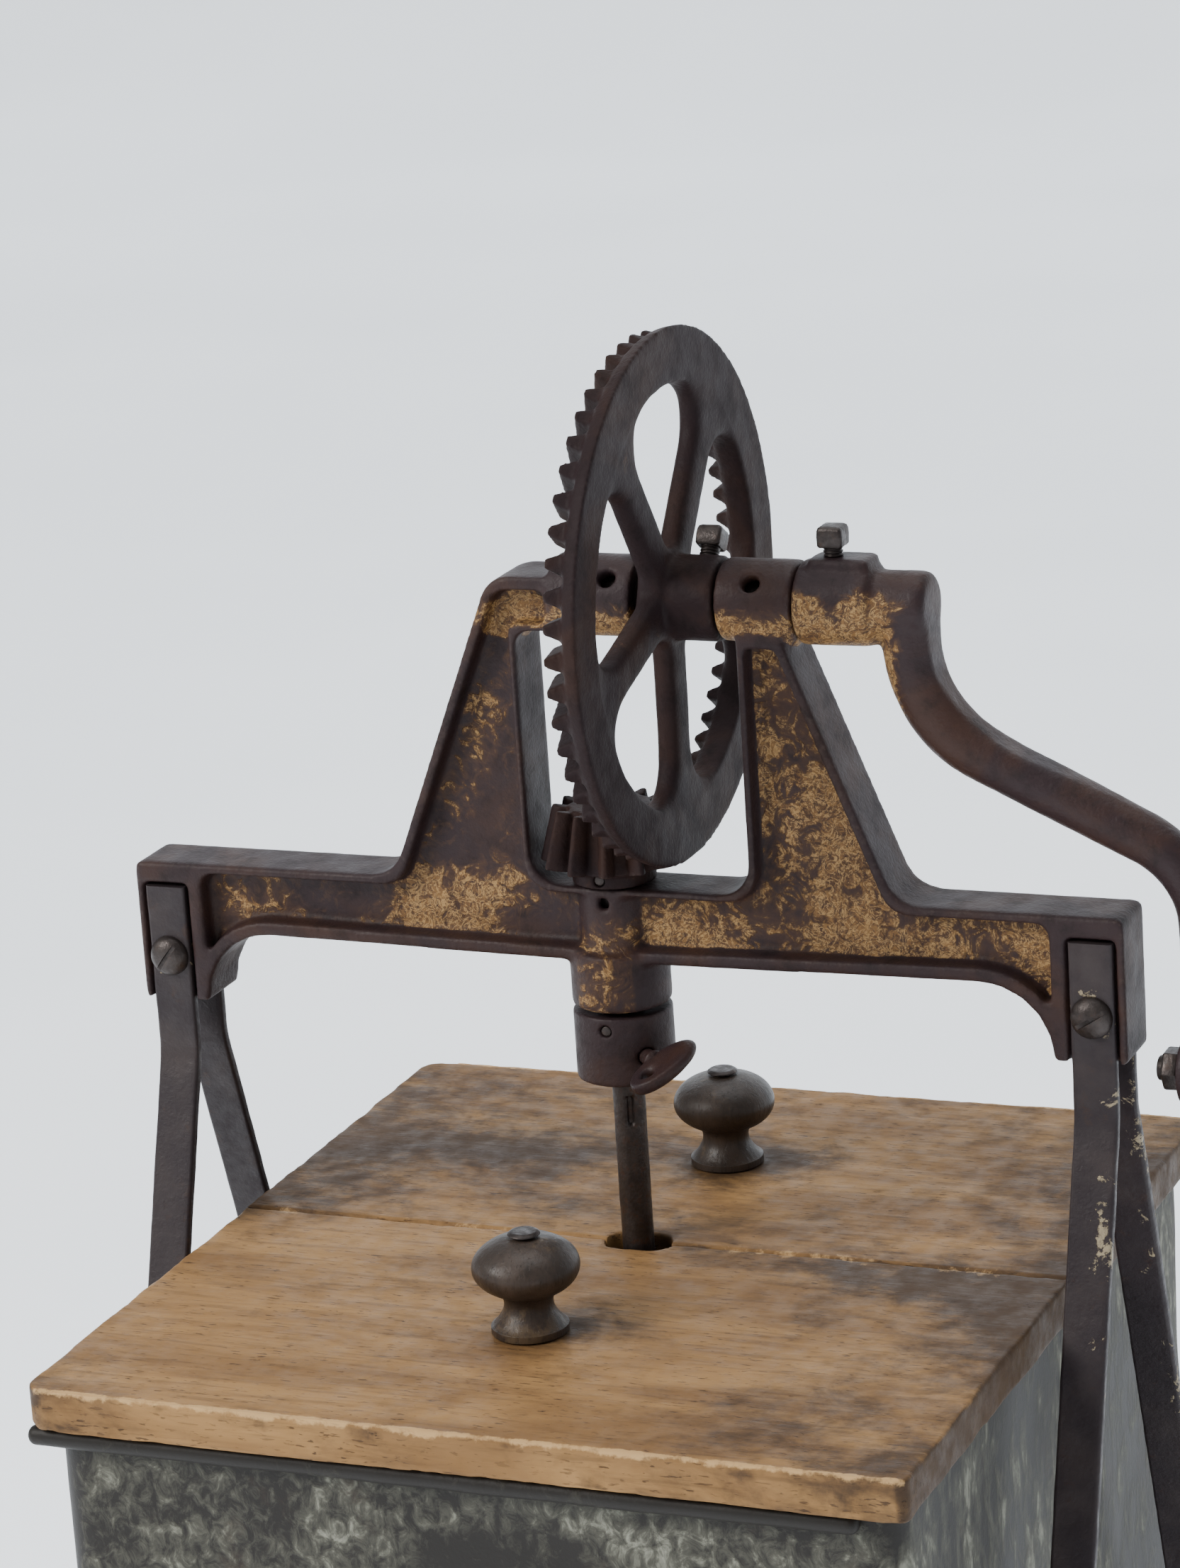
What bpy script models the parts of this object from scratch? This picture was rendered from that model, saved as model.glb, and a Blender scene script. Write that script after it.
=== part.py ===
"""Hand crank butter churn: a cast gear frame on four strap legs over a square sheet-metal tank.

Metres, +Z up, the floor at Z = 0. The crank shaft runs along X, with the crank at +X, and the
frame casting stands in the XZ plane. Every piece is placed from the upright spindle's axis.
"""

import math

import bmesh
import bpy
from mathutils import Matrix, Vector

# Clearances
gap = 0.0003
loose = 0.0012

# Tank: a sheet-metal box, open at the top
tankHalfWidth = 0.1595
tankHalfDepth = 0.169
tankHeight = 0.340
tankWall = 0.0009
tankCorner = 0.014
tankForward = 0.00565
frameOffset = 0.0024
beadRadius = 0.0036
beadOverrun = 0.006
bottomRecess = 0.012
bottomFlange = 0.010

# Lid: two boards that meet at the dasher rod
lidThick = 0.0156
lidOverhangX = 0.0055
lidOverhangY = 0.00835
lidCorner = 0.010
lidSplit = 0.0008
slotHalfLength = 0.013
slotHalfWidth = 0.008
cleatWidth = 0.018
cleatThick = 0.010
cleatInset = 0.012

# Lid knobs
knobRadius = 0.0197
knobHeight = 0.0365
knobBase = 0.0142
knobNeck = 0.0098
knobScrewRadius = 0.0024
knobHeadRadius = 0.0059
knobHeadHeight = 0.0012
knobFrontX = -0.005
knobBackX = 0.003

# Strap legs and base bars
legWidth = 0.016
legThick = 0.004
legClear = 0.008
legSplay = 0.32
legBendBelow = 0.021
footLength = 0.026
barThick = 0.004
barWidth = 0.024
rivetRadius = 0.003
rivetHead = 0.0055
rivetHeadHeight = 0.0025

# Gear frame casting, heights above the lid
frameThick = 0.026
armTop = 0.141
railDepth = 0.026
railBelly = 0.0025
bracketBottom = 0.087
bracketRim = 0.0031
bracketRib = 0.0055
gussetRadius = 0.027
pocketTop = 0.008
webRecess = 0.008
pylonMid = 0.0145
pylonTopHalf = 0.061
pylonSlope = 0.4
pylonFoot = 0.014
windowHalf = 0.0425
windowCorner = 0.012
windowLip = 0.0028
pylonLip = 0.0042
topLip = 0.0036
bottomLip = 0.005

# Crank shaft and its bosses
shaftHeight = 0.248
shaftRadius = 0.008
bossRadius = 0.015
leftBossEnd = 0.0185
shaftBlindEnd = leftBossEnd - 0.0295  # the bore is blind on the left, 3 mm inside the boss
rightBossStart = 0.050
rightBossEnd = 0.079
oilHole = 0.0034
oilHoleTilt = math.radians(38)

# Bevel gears: straight teeth, with the apex where the two axes cross
wheelTeeth = 52
pinionTeeth = 12
wheelPitchRadius = 0.0945
pinionHeel = 0.0055
faceWidth = 0.0165
pinionHub = 0.0155
wheelAddendum = 0.75
pinionAddendum = 1.05
wheelDedendum = 1.28
pinionDedendum = 1.0
pressureAngle = math.radians(20)
backlash = 0.0007
rimBack = 0.032
rimOuter = 0.097
rimInner = 0.0765
spokeCount = 5
spokePhase = math.radians(53)
spokeWidth = 0.017
spokeThick = 0.009
spokeFillet = 0.015
wheelHubRadius = 0.0155
wheelHubStart = 0.022

# Crank
crankRadius = 0.165
crankHubRadius = 0.0153
crankHubLength = 0.027
shoulderRadius = 0.0124
shoulderEdge = 0.0035
shoulderStep = 0.0015
armRadius = 0.0090
armRootRadius = 0.0115
armRootX = 0.1165
armSwing = 0.0258
armDrop = 0.040
armRise = 0.0505
eyeRadius = 0.013
eyeLength = 0.019
gripLength = 0.090
gripRadius = 0.0155
gripBoltRadius = 0.0045
gripHeadRadius = 0.009
gripHeadHeight = 0.003
washerThick = 0.0016

# Upright spindle, coupling collar and dasher
spindleRadius = 0.008
spindleBoss = 0.0135
lowerBossRadius = 0.0185
lowerBossBottom = 0.0945
collarRadius = 0.0185
collarTop = 0.0930
collarBottom = 0.0665
rodRadius = 0.0059
thumbHeight = 0.0775
thumbAzimuth = math.radians(-42)
thumbTilt = math.radians(28)
thumbShank = 0.003
thumbHalfLength = 0.0145
thumbReach = 0.0085
thumbThick = 0.005
hubHalf = 0.019
hubHeight = 0.150
hubClearance = 0.030
bladeLength = 0.105
bladeCorner = 0.012
bladeHeight = 0.110
bladeThick = 0.010
bladeSeat = 0.006
pivotFlange = 0.022
pivotFlangeThick = 0.002
pivotRadius = 0.011
pivotHeight = 0.014

# Fasteners
boltRadius = 0.004
boltHead = 0.0077
boltHeadHeight = 0.0048
slotWidth = 0.0016
slotDepth = 0.0016
nutHalf = 0.0065
nutThick = 0.006
setScrewRadius = 0.0035
setHeadHalf = 0.0047
setHeadHeight = 0.0075
setNeck = 0.0035
crossPin = 0.002

# Derived heights above the floor
tankBottomZ = barThick + gap
rimZ = tankBottomZ + tankHeight
lidBottomZ = rimZ + gap
lidTopZ = lidBottomZ + lidThick
armTopZ = lidTopZ + armTop
railBottomZ = armTopZ - railDepth
bracketBottomZ = lidTopZ + bracketBottom
shaftZ = lidTopZ + shaftHeight
pylonTopZ = shaftZ + 0.0085

# Derived widths from the spindle axis
tankMidY = -tankForward
lidHalfWidth = tankHalfWidth + lidOverhangX
lidHalfDepth = tankHalfDepth + lidOverhangY
legInner = lidHalfWidth + legClear
legMid = legInner + legWidth / 2
pocketInner = legInner - loose
pocketOuter = legInner + legWidth + loose
frameHalf = pocketOuter + bracketRim
frameHalfThick = frameThick / 2
bracketInner = pocketInner - bracketRib
armEndX = frameOffset + frameHalf + armSwing
windowLeft = pylonMid - windowHalf
windowRight = pylonMid + windowHalf
legBendZ = bracketBottomZ - legBendBelow
footZ = barThick + gap + legThick / 2
footBendY = frameHalfThick - legThick / 2 + (legBendZ - footZ) * legSplay
barY = footBendY + footLength / 2
pinionPitchAngle = math.atan2(pinionTeeth, wheelTeeth)
wheelHubEnd = rightBossStart - 2 * gap
crankHubStart = rightBossEnd + gap
crankHubEnd = crankHubStart + crankHubLength
eyeStart = armEndX - eyeLength / 2
eyeEnd = armEndX + eyeLength / 2
gripStart = eyeEnd + washerThick + 2 * gap
gripEnd = gripStart + gripLength
boltEnd = gripEnd + gap + gripHeadHeight
module = 2 * wheelPitchRadius / wheelTeeth

# The origin is the middle of the whole object's box, on the floor.
spindleX = -(boltEnd + frameOffset - frameHalf) / 2
spindleY = -(tankMidY)

parts = None
cutters = None


def startScene():
    global parts, cutters
    for obj in list(bpy.data.objects):
        bpy.data.objects.remove(obj, do_unlink=True)
    parts = bpy.data.collections.new("butter_churn")
    cutters = bpy.data.collections.new("cutters")
    bpy.context.scene.collection.children.link(parts)
    bpy.context.scene.collection.children.link(cutters)


def makeMaterial(name, colour, metallic, roughness):
    material = bpy.data.materials.new(name)
    material.use_nodes = True
    shader = material.node_tree.nodes["Principled BSDF"]
    shader.inputs["Base Color"].default_value = (*colour, 1.0)
    shader.inputs["Metallic"].default_value = metallic
    shader.inputs["Roughness"].default_value = roughness
    return material


def addEmpty(name, location, parent=None):
    empty = bpy.data.objects.new(name, None)
    empty.location = location
    empty.parent = parent
    parts.objects.link(empty)
    return empty


# ---- shape helpers: each returns a mesh object at the origin of its parent ----


def takeMesh(name, obj):
    """The evaluated mesh of an object, as a new plain object in the parts collection."""
    bpy.context.view_layer.update()
    graph = bpy.context.evaluated_depsgraph_get()
    mesh = bpy.data.meshes.new_from_object(obj.evaluated_get(graph))
    mesh.transform(obj.matrix_world)
    bpy.data.objects.remove(obj, do_unlink=True)
    work = bmesh.new()
    work.from_mesh(mesh)
    bmesh.ops.remove_doubles(work, verts=work.verts, dist=1e-6)
    bmesh.ops.recalc_face_normals(work, faces=work.faces)
    work.to_mesh(mesh)
    work.free()
    mesh.name = name
    made = bpy.data.objects.new(name, mesh)
    parts.objects.link(made)
    return made


def box(name, low, high):
    middle = (Vector(low) + Vector(high)) / 2
    size = Vector(high) - Vector(low)
    mesh = bpy.data.meshes.new(name)
    work = bmesh.new()
    bmesh.ops.create_cube(work, size=1.0, matrix=Matrix.Translation(middle) @ Matrix.Diagonal((*size, 1.0)))
    work.to_mesh(mesh)
    work.free()
    made = bpy.data.objects.new(name, mesh)
    parts.objects.link(made)
    return made


def cylinder(name, radius, start, end, sides=32):
    """A round bar between two points."""
    start, end = Vector(start), Vector(end)
    along = end - start
    turn = Vector((0, 0, 1)).rotation_difference(along).to_matrix().to_4x4()
    matrix = Matrix.Translation((start + end) / 2) @ turn
    mesh = bpy.data.meshes.new(name)
    work = bmesh.new()
    bmesh.ops.create_cone(
        work,
        cap_ends=True,
        segments=sides,
        radius1=radius,
        radius2=radius,
        depth=along.length,
        matrix=matrix,
    )
    work.to_mesh(mesh)
    work.free()
    made = bpy.data.objects.new(name, mesh)
    parts.objects.link(made)
    return made


planeTurns = {
    "XY": Matrix.Identity(4),
    "XZ": Matrix.Rotation(math.pi / 2, 4, "X"),
    "YZ": Matrix(((0, 0, 1, 0), (1, 0, 0, 0), (0, 1, 0, 0), (0, 0, 0, 1))),
}


def plate(name, loops, thickness, plane, offset):
    """A flat outline with holes, given its thickness about the plane at this offset."""
    curve = bpy.data.curves.new(name, "CURVE")
    curve.dimensions = "2D"
    curve.fill_mode = "BOTH"
    curve.extrude = thickness / 2
    for loop in loops:
        spline = curve.splines.new("POLY")
        spline.points.add(len(loop) - 1)
        for point, (u, v) in zip(spline.points, loop):
            point.co = (u, v, 0, 1)
        spline.use_cyclic_u = True
    flat = bpy.data.objects.new(name, curve)
    parts.objects.link(flat)
    turned = planeTurns[plane]
    normal = turned.to_3x3() @ Vector((0, 0, 1))
    # XZ outlines have their thickness along -Y after the turn.
    side = -1 if plane == "XZ" else 1
    flat.matrix_world = Matrix.Translation(normal * offset * side) @ turned
    return takeMesh(name, flat)


def turned(name, profile, steps=32, axis="Z", centre=(0, 0, 0)):
    """A profile of (radius, height) points, top to bottom down its outer side, turned round an axis."""
    mesh = bpy.data.meshes.new(name)
    points = [(r, 0, h) for r, h in profile]
    edges = [(i, i + 1) for i in range(len(points) - 1)]
    if profile[0][0] > 0:
        edges.append((len(points) - 1, 0))
    mesh.from_pydata(points, edges, [])
    spun = bpy.data.objects.new(name, mesh)
    parts.objects.link(spun)
    screw = spun.modifiers.new("turn", "SCREW")
    screw.axis = "Z"
    screw.steps = steps
    screw.render_steps = steps
    screw.use_merge_vertices = True
    screw.merge_threshold = 1e-6
    if axis == "X":
        spun.matrix_world = Matrix.Translation(centre) @ Matrix.Rotation(math.pi / 2, 4, "Y")
    elif axis == "Y":
        spun.matrix_world = Matrix.Translation(centre) @ Matrix.Rotation(-math.pi / 2, 4, "X")
    else:
        spun.matrix_world = Matrix.Translation(centre)
    return takeMesh(name, spun)


def tube(name, points, radii):
    curve = bpy.data.curves.new(name, "CURVE")
    curve.dimensions = "3D"
    curve.bevel_depth = 1.0
    curve.bevel_resolution = 3
    curve.use_fill_caps = True
    spline = curve.splines.new("POLY")
    spline.points.add(len(points) - 1)
    for point, place, radius in zip(spline.points, points, radii):
        point.co = (*place, 1)
        point.radius = radius
    path = bpy.data.objects.new(name, curve)
    parts.objects.link(path)
    return takeMesh(name, path)


def combine(target, tool, operation):
    """A live Boolean; its tool moves to the cutters collection."""
    modifier = target.modifiers.new(tool.name, "BOOLEAN")
    modifier.operation = operation
    # The exact solver drops a face of the frame's web, so the frame has the other one.
    modifier.solver = "MANIFOLD" if target.name == "gear_frame" else "EXACT"
    modifier.object = tool
    parts.objects.unlink(tool)
    cutters.objects.link(tool)
    tool.hide_render = True
    tool.display_type = "WIRE"
    return target


def cut(target, tool):
    return combine(target, tool, "DIFFERENCE")


def add(target, tool):
    return combine(target, tool, "UNION")


def finish(obj, material, parent):
    obj.data.materials.clear()
    obj.data.materials.append(material)
    obj.parent = parent
    for modifier in obj.modifiers:
        if modifier.type == "BOOLEAN":
            modifier.object.parent = parent
    obj.data.shade_smooth()
    obj.data.set_sharp_from_angle(angle=math.radians(32))
    return obj


def arc(centreU, centreV, radius, start, end, steps):
    """Points on an arc, from one angle in degrees to another."""
    turns = [math.radians(start + (end - start) * i / steps) for i in range(steps + 1)]
    return [(centreU + radius * math.cos(t), centreV + radius * math.sin(t)) for t in turns]


def rounded(corners, coarse=18.0):
    """An outline of (u, v, radius) corners, with each corner rounded by its radius."""
    outline = []
    count = len(corners)
    for i, (u, v, radius) in enumerate(corners):
        here = Vector((u, v))
        before = (Vector(corners[i - 1][:2]) - here).normalized()
        after = (Vector(corners[(i + 1) % count][:2]) - here).normalized()
        half = math.acos(max(-1.0, min(1.0, before.dot(after)))) / 2
        if radius <= 0 or half > math.radians(88):
            outline.append((u, v))
            continue
        centre = here + (before + after).normalized() * radius / math.sin(half)
        first = here + before * radius / math.tan(half) - centre
        last = here + after * radius / math.tan(half) - centre
        start = math.atan2(first.y, first.x)
        sweep = (math.atan2(last.y, last.x) - start + math.pi) % (2 * math.pi) - math.pi
        steps = max(1, round(abs(math.degrees(sweep)) / coarse))
        for k in range(steps + 1):
            angle = start + sweep * k / steps
            outline.append((centre.x + radius * math.cos(angle), centre.y + radius * math.sin(angle)))
    return outline


def roundedBox(halfU, halfV, radius, midU=0.0, midV=0.0):
    corners = [(-1, -1), (1, -1), (1, 1), (-1, 1)]
    return rounded([(midU + a * halfU, midV + b * halfV, radius) for a, b in corners])


# ---- gear frame ----


def pylonEdge(side, height, inset=0.0):
    """The sloped outer side of a pylon: its distance from the spindle at a height."""
    slopeStart = shaftZ - bossRadius
    half = pylonTopHalf + (slopeStart - height) * pylonSlope - inset
    return pylonMid + side * half


def frameOutline():
    left, right = frameOffset - frameHalf, frameOffset + frameHalf
    innerLeft, innerRight = frameOffset - bracketInner, frameOffset + bracketInner
    plateEnd = leftBossEnd - 0.0305
    lipBottom = shaftZ - 0.0115
    return rounded(
        [
            (left, armTopZ, 0.003),
            (pylonEdge(-1, armTopZ), armTopZ, pylonFoot),
            (pylonEdge(-1, pylonTopZ), pylonTopZ, 0.012),
            (plateEnd, pylonTopZ, 0),
            (plateEnd, lipBottom, 0),
            (windowLeft, lipBottom, 0.006),
            (windowLeft, armTopZ, windowCorner),
            (windowRight, armTopZ, windowCorner),
            (windowRight, shaftZ - 0.002, 0),
            (pylonEdge(1, shaftZ - 0.002), shaftZ - 0.002, 0),
            (pylonEdge(1, armTopZ), armTopZ, pylonFoot),
            (right, armTopZ, 0.003),
            (right, bracketBottomZ, 0.0015),
            (innerRight, bracketBottomZ, 0.001),
            (innerRight, railBottomZ, gussetRadius),
            (0, railBottomZ - railBelly, 0),
            (innerLeft, railBottomZ, gussetRadius),
            (innerLeft, bracketBottomZ, 0.001),
            (left, bracketBottomZ, 0.0015),
        ]
    )


def panelOutline():
    """The recessed face between the flanges, the same on the front and the back."""
    panelLeft = frameOffset - bracketInner + 0.0005
    panelRight = frameOffset + bracketInner - 0.0005
    top = armTopZ - topLip
    underWindow = armTopZ - windowLip
    lipTop = shaftZ - 0.0115 + windowLip
    shoulder = pylonTopZ - 0.005
    flangeEnd = leftBossEnd - 0.0345
    gussetZ = railBottomZ - gussetRadius
    arcRadius = gussetRadius + bottomLip
    reach = math.degrees(math.acos(min(1.0, (gussetRadius - 0.0005) / arcRadius)))
    gussetRight = arc(frameOffset + bracketInner - gussetRadius, gussetZ, arcRadius, reach, 90, 4)
    gussetLeft = arc(frameOffset - bracketInner + gussetRadius, gussetZ, arcRadius, 90, 180 - reach, 4)
    corners = [
        (panelLeft, top, 0.005),
        (pylonEdge(-1, top, pylonLip), top, pylonFoot - topLip),
        (pylonEdge(-1, shoulder, pylonLip), shoulder, 0.008),
        (flangeEnd, shoulder, 0),
        (flangeEnd, lipTop, 0),
        (windowLeft - windowLip, lipTop, 0.004),
        (windowLeft - windowLip, underWindow, windowCorner),
        (windowRight + windowLip, underWindow, windowCorner),
        (windowRight + windowLip, shaftZ - bossRadius, 0),
        (pylonEdge(1, shaftZ - bossRadius, pylonLip), shaftZ - bossRadius, 0),
        (pylonEdge(1, top, pylonLip), top, pylonFoot - topLip),
        (panelRight, top, 0.005),
    ]
    corners += [(u, v, 0) for u, v in gussetRight]
    corners += [(0, railBottomZ - railBelly + bottomLip, 0)]
    corners += [(u, v, 0) for u, v in gussetLeft]
    return rounded(corners)


def oilHoleCutter(name, x):
    out = Vector((0, -math.cos(oilHoleTilt), math.sin(oilHoleTilt)))
    axis = Vector((x, 0, shaftZ))
    return cylinder(name, oilHole, axis + out * shaftRadius * 0.5, axis + out * bossRadius * 1.4, 16)


def buildFrame(iron, churn):
    frame = plate("gear_frame", [frameOutline()], frameThick, "XZ", 0)
    for side, sideName in ((-1, "left"), (1, "right")):
        low = frameOffset + min(side * pocketInner, side * pocketOuter)
        high = frameOffset + max(side * pocketInner, side * pocketOuter)
        for face, faceName in ((-1, "front"), (1, "back")):
            inside = face * (frameHalfThick - legThick - gap)
            outside = face * (frameHalfThick + 0.002)
            cutLow = (low, min(inside, outside), bracketBottomZ - 0.002)
            cutHigh = (high, max(inside, outside), armTopZ - pocketTop)
            cut(frame, box(f"pocket_{sideName}_{faceName}", cutLow, cutHigh))
        x = frameOffset + side * legMid
        start, end = (x, -frameThick, boltZ()), (x, frameThick, boltZ())
        cut(frame, cylinder(f"bolt_hole_{sideName}", boltRadius + gap, start, end, 20))
    recess = webRecess + 0.002
    panelY = frameHalfThick - webRecess + recess / 2
    for name, side in (("front", -1), ("back", 1)):
        cut(frame, plate(f"panel_{name}", [panelOutline()], recess, "XZ", side * panelY))
    plateEnd = leftBossEnd - 0.0325
    add(frame, cylinder("left_boss", bossRadius, (plateEnd, 0, shaftZ), (leftBossEnd, 0, shaftZ)))
    add(frame, cylinder("right_boss", bossRadius, (rightBossStart, 0, shaftZ), (rightBossEnd, 0, shaftZ)))
    railMid = railBottomZ - railBelly + 0.001
    add(frame, cylinder("spindle_boss", spindleBoss, (0, 0, railMid), (0, 0, armTopZ - 0.0006)))
    lowerTop = railMid + 0.003
    add(frame, cylinder("lower_boss", lowerBossRadius, (0, 0, lidTopZ + lowerBossBottom), (0, 0, lowerTop)))
    boreEnd = rightBossEnd + 0.01
    cut(frame, cylinder("shaft_bore", shaftRadius + gap, (shaftBlindEnd, 0, shaftZ), (boreEnd, 0, shaftZ)))
    boreBottom = lidTopZ + lowerBossBottom - 0.005
    cut(frame, cylinder("spindle_bore", spindleRadius + gap, (0, 0, boreBottom), (0, 0, armTopZ + 0.005)))
    cut(frame, oilHoleCutter("oil_left", leftBossEnd - 0.0095))
    cut(frame, oilHoleCutter("oil_right", (rightBossStart + rightBossEnd) / 2 - 0.001))
    oilZ = armTopZ - 0.006
    oilEnd = (0, -spindleRadius * 0.5, oilZ)
    cut(frame, cylinder("oil_spindle", oilHole * 0.7, (0, -frameThick, oilZ), oilEnd, 12))
    return finish(frame, iron, churn)


def boltZ():
    return (bracketBottomZ + armTopZ - pocketTop) / 2 - 0.0055


# ---- legs and base ----


def stripOutline(path, thickness):
    """The outline of a bent strip from its middle line, with mitred bends."""
    points = [Vector(p) for p in path]
    sides = ([], [])
    for i, point in enumerate(points):
        before = (point - points[i - 1]).normalized() if i else None
        after = (points[i + 1] - point).normalized() if i + 1 < len(points) else None
        first, second = before or after, after or before
        tangent = (first + second).normalized()
        normal = Vector((-tangent.y, tangent.x))
        reach = thickness / 2 / max(0.2, normal.dot(Vector((-first.y, first.x))))
        sides[0].append(tuple(point + normal * reach))
        sides[1].append(tuple(point - normal * reach))
    return sides[0] + sides[1][::-1]


def softened(corners, steps=3):
    """A middle line whose inner corners are rounded by their radius."""
    path = [corners[0][:2]]
    for i in range(1, len(corners) - 1):
        u, v, radius = corners[i]
        here = Vector((u, v))
        before = (Vector(corners[i - 1][:2]) - here).normalized()
        after = (Vector(corners[i + 1][:2]) - here).normalized()
        half = math.acos(max(-1.0, min(1.0, before.dot(after)))) / 2
        back = radius / math.tan(half)
        start, end = here + before * back, here + after * back
        for k in range(steps + 1):
            t = k / steps
            path.append(tuple(start * (1 - t) ** 2 + here * 2 * t * (1 - t) + end * t**2))
    path.append(corners[-1][:2])
    return path


def buildLeg(name, side, face, steel, churn):
    y = frameHalfThick - legThick / 2
    path = softened(
        [
            (y, armTopZ - pocketTop - gap - loose, 0),
            (y, legBendZ, 0.03),
            (footBendY, footZ, 0.008),
            (footBendY + footLength, footZ, 0),
        ]
    )
    outline = [(face * u, v) for u, v in stripOutline(path, legThick)]
    x = frameOffset + side * legMid
    leg = plate(name, [outline], legWidth, "YZ", x)
    holeStart, holeEnd = (x, face * (y - legThick), boltZ()), (x, face * (y + legThick), boltZ())
    cut(leg, cylinder(f"{name}_bolt_hole", boltRadius + gap, holeStart, holeEnd, 20))
    rivetLow, rivetHigh = (x, face * barY, 0), (x, face * barY, footZ + legThick)
    cut(leg, cylinder(f"{name}_rivet_hole", rivetRadius + gap, rivetLow, rivetHigh, 16))
    return finish(leg, steel, churn)


def buildBaseBar(name, face, steel, churn):
    half = frameHalf
    low = (frameOffset - half, face * barY - barWidth / 2, 0)
    high = (frameOffset + half, face * barY + barWidth / 2, barThick)
    bar = box(name, low, high)
    for side, sideName in ((-1, "left"), (1, "right")):
        x = frameOffset + side * legMid
        start, end = (x, face * barY, -0.002), (x, face * barY, barThick + 0.002)
        cut(bar, cylinder(f"{name}_hole_{sideName}", rivetRadius + gap, start, end, 16))
    return finish(bar, steel, churn)


def buildRivet(name, side, face, steel, churn):
    top = footZ + legThick / 2 + gap
    profile = [(0, top + rivetHeadHeight)]
    profile += [(rivetHead * 0.6, top + rivetHeadHeight * 0.8), (rivetHead, top)]
    profile += [(rivetRadius, top), (rivetRadius, gap), (0, gap)]
    centre = (frameOffset + side * legMid, face * barY, 0)
    return finish(turned(name, profile, 16, "Z", centre), steel, churn)


def buildFrameBolt(name, side, steel, churn):
    face = frameHalfThick + gap
    end = frameHalfThick + 2 * gap + nutThick + 0.002
    angles = [math.radians(a) for a in (80, 55, 30, 0)]
    dome = [(boltHead * math.cos(a), boltHeadHeight * math.sin(a)) for a in angles]
    profile = [(0, face + boltHeadHeight)] + [(r, face + h) for r, h in dome]
    profile += [(boltRadius, face), (boltRadius, -end), (0, -end)]
    x = frameOffset + side * legMid
    bolt = turned(name, profile, 24, "Y", (x, 0, boltZ()))
    aboutBolt = Matrix.Translation((x, 0, 0)) @ Matrix.Rotation(math.pi, 4, "Z")
    bolt.data.transform(aboutBolt @ Matrix.Translation((-x, 0, 0)))
    slot = box(
        f"{name}_slot",
        (-boltHead * 1.5, -face - boltHeadHeight - 0.001, -slotWidth / 2),
        (boltHead * 1.5, -face - boltHeadHeight + slotDepth, slotWidth / 2),
    )
    tilt = Matrix.Rotation(math.radians(52 if side < 0 else 32), 4, "Y")
    slot.data.transform(Matrix.Translation((x, 0, boltZ())) @ tilt)
    cut(bolt, slot)
    return finish(bolt, steel, churn)


def buildFrameNut(name, side, steel, churn):
    x = frameOffset + side * legMid
    start = frameHalfThick + gap
    z = boltZ()
    nut = box(name, (x - nutHalf, start, z - nutHalf), (x + nutHalf, start + nutThick, z + nutHalf))
    bore = cylinder(f"{name}_bore", boltRadius + gap, (x, 0, z), (x, start + nutThick + 0.01, z), 20)
    cut(nut, bore)
    return finish(nut, steel, churn)


# ---- tank ----


def buildTank(sheet, churn):
    outer = roundedBox(tankHalfWidth, tankHalfDepth, tankCorner, frameOffset, tankMidY)
    innerCorner = tankCorner - tankWall
    inner = roundedBox(tankHalfWidth - tankWall, tankHalfDepth - tankWall, innerCorner, frameOffset, tankMidY)
    shell = plate("tank_shell", [outer, inner], tankHeight, "XY", tankBottomZ + tankHeight / 2)
    beadZ = rimZ - beadRadius - gap
    beadY = tankHalfDepth + beadRadius - tankWall
    for name, face in (("front", -1), ("back", 1)):
        start = frameOffset - tankHalfWidth - beadOverrun
        end = frameOffset + tankHalfWidth - tankCorner
        y = tankMidY + face * beadY
        add(shell, cylinder(f"rim_bead_{name}", beadRadius, (start, y, beadZ), (end, y, beadZ), 12))
    return finish(shell, sheet, churn)


def buildTankBottom(sheet, churn):
    half = (tankHalfWidth - tankWall - gap, tankHalfDepth - tankWall - gap)
    corner = tankCorner - tankWall - gap
    outer = roundedBox(*half, corner, frameOffset, tankMidY)
    inner = roundedBox(half[0] - tankWall, half[1] - tankWall, corner - tankWall, frameOffset, tankMidY)
    floorTop = tankBottomZ + bottomRecess
    bottom = plate("tank_bottom", [outer], tankWall, "XY", floorTop - tankWall / 2)
    flangeMid = floorTop - tankWall / 2 - bottomFlange / 2
    add(bottom, plate("bottom_flange", [outer, inner], bottomFlange, "XY", flangeMid))
    return finish(bottom, sheet, churn)


# ---- lid ----


def buildLidHalf(name, face, wood, churn):
    splitEdge = face * lidSplit / 2
    outerEdge = tankMidY + face * lidHalfDepth
    left, right = frameOffset - lidHalfWidth, frameOffset + lidHalfWidth
    corners = [
        (left, splitEdge, 0),
        (left, outerEdge, lidCorner),
        (right, outerEdge, lidCorner * 0.4),
        (right, splitEdge, 0),
    ]
    half = plate(name, [rounded(corners)], lidThick, "XY", lidBottomZ + lidThick / 2)
    straight = slotHalfLength - slotHalfWidth
    slotOutline = arc(straight, 0, slotHalfWidth, -90, 90, 10) + arc(-straight, 0, slotHalfWidth, 90, 270, 10)
    cut(half, plate(f"{name}_slot", [slotOutline], lidThick * 2, "XY", lidBottomZ + lidThick / 2))
    x, y = knobPlace(face)
    start, end = (x, y, lidBottomZ - 0.002), (x, y, lidTopZ + 0.002)
    cut(half, cylinder(f"{name}_screw_hole", knobScrewRadius + gap, start, end, 16))
    return finish(half, wood, churn)


def knobPlace(face):
    x = knobFrontX if face < 0 else knobBackX
    return x, (tankMidY + face * lidHalfDepth) / 2


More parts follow.
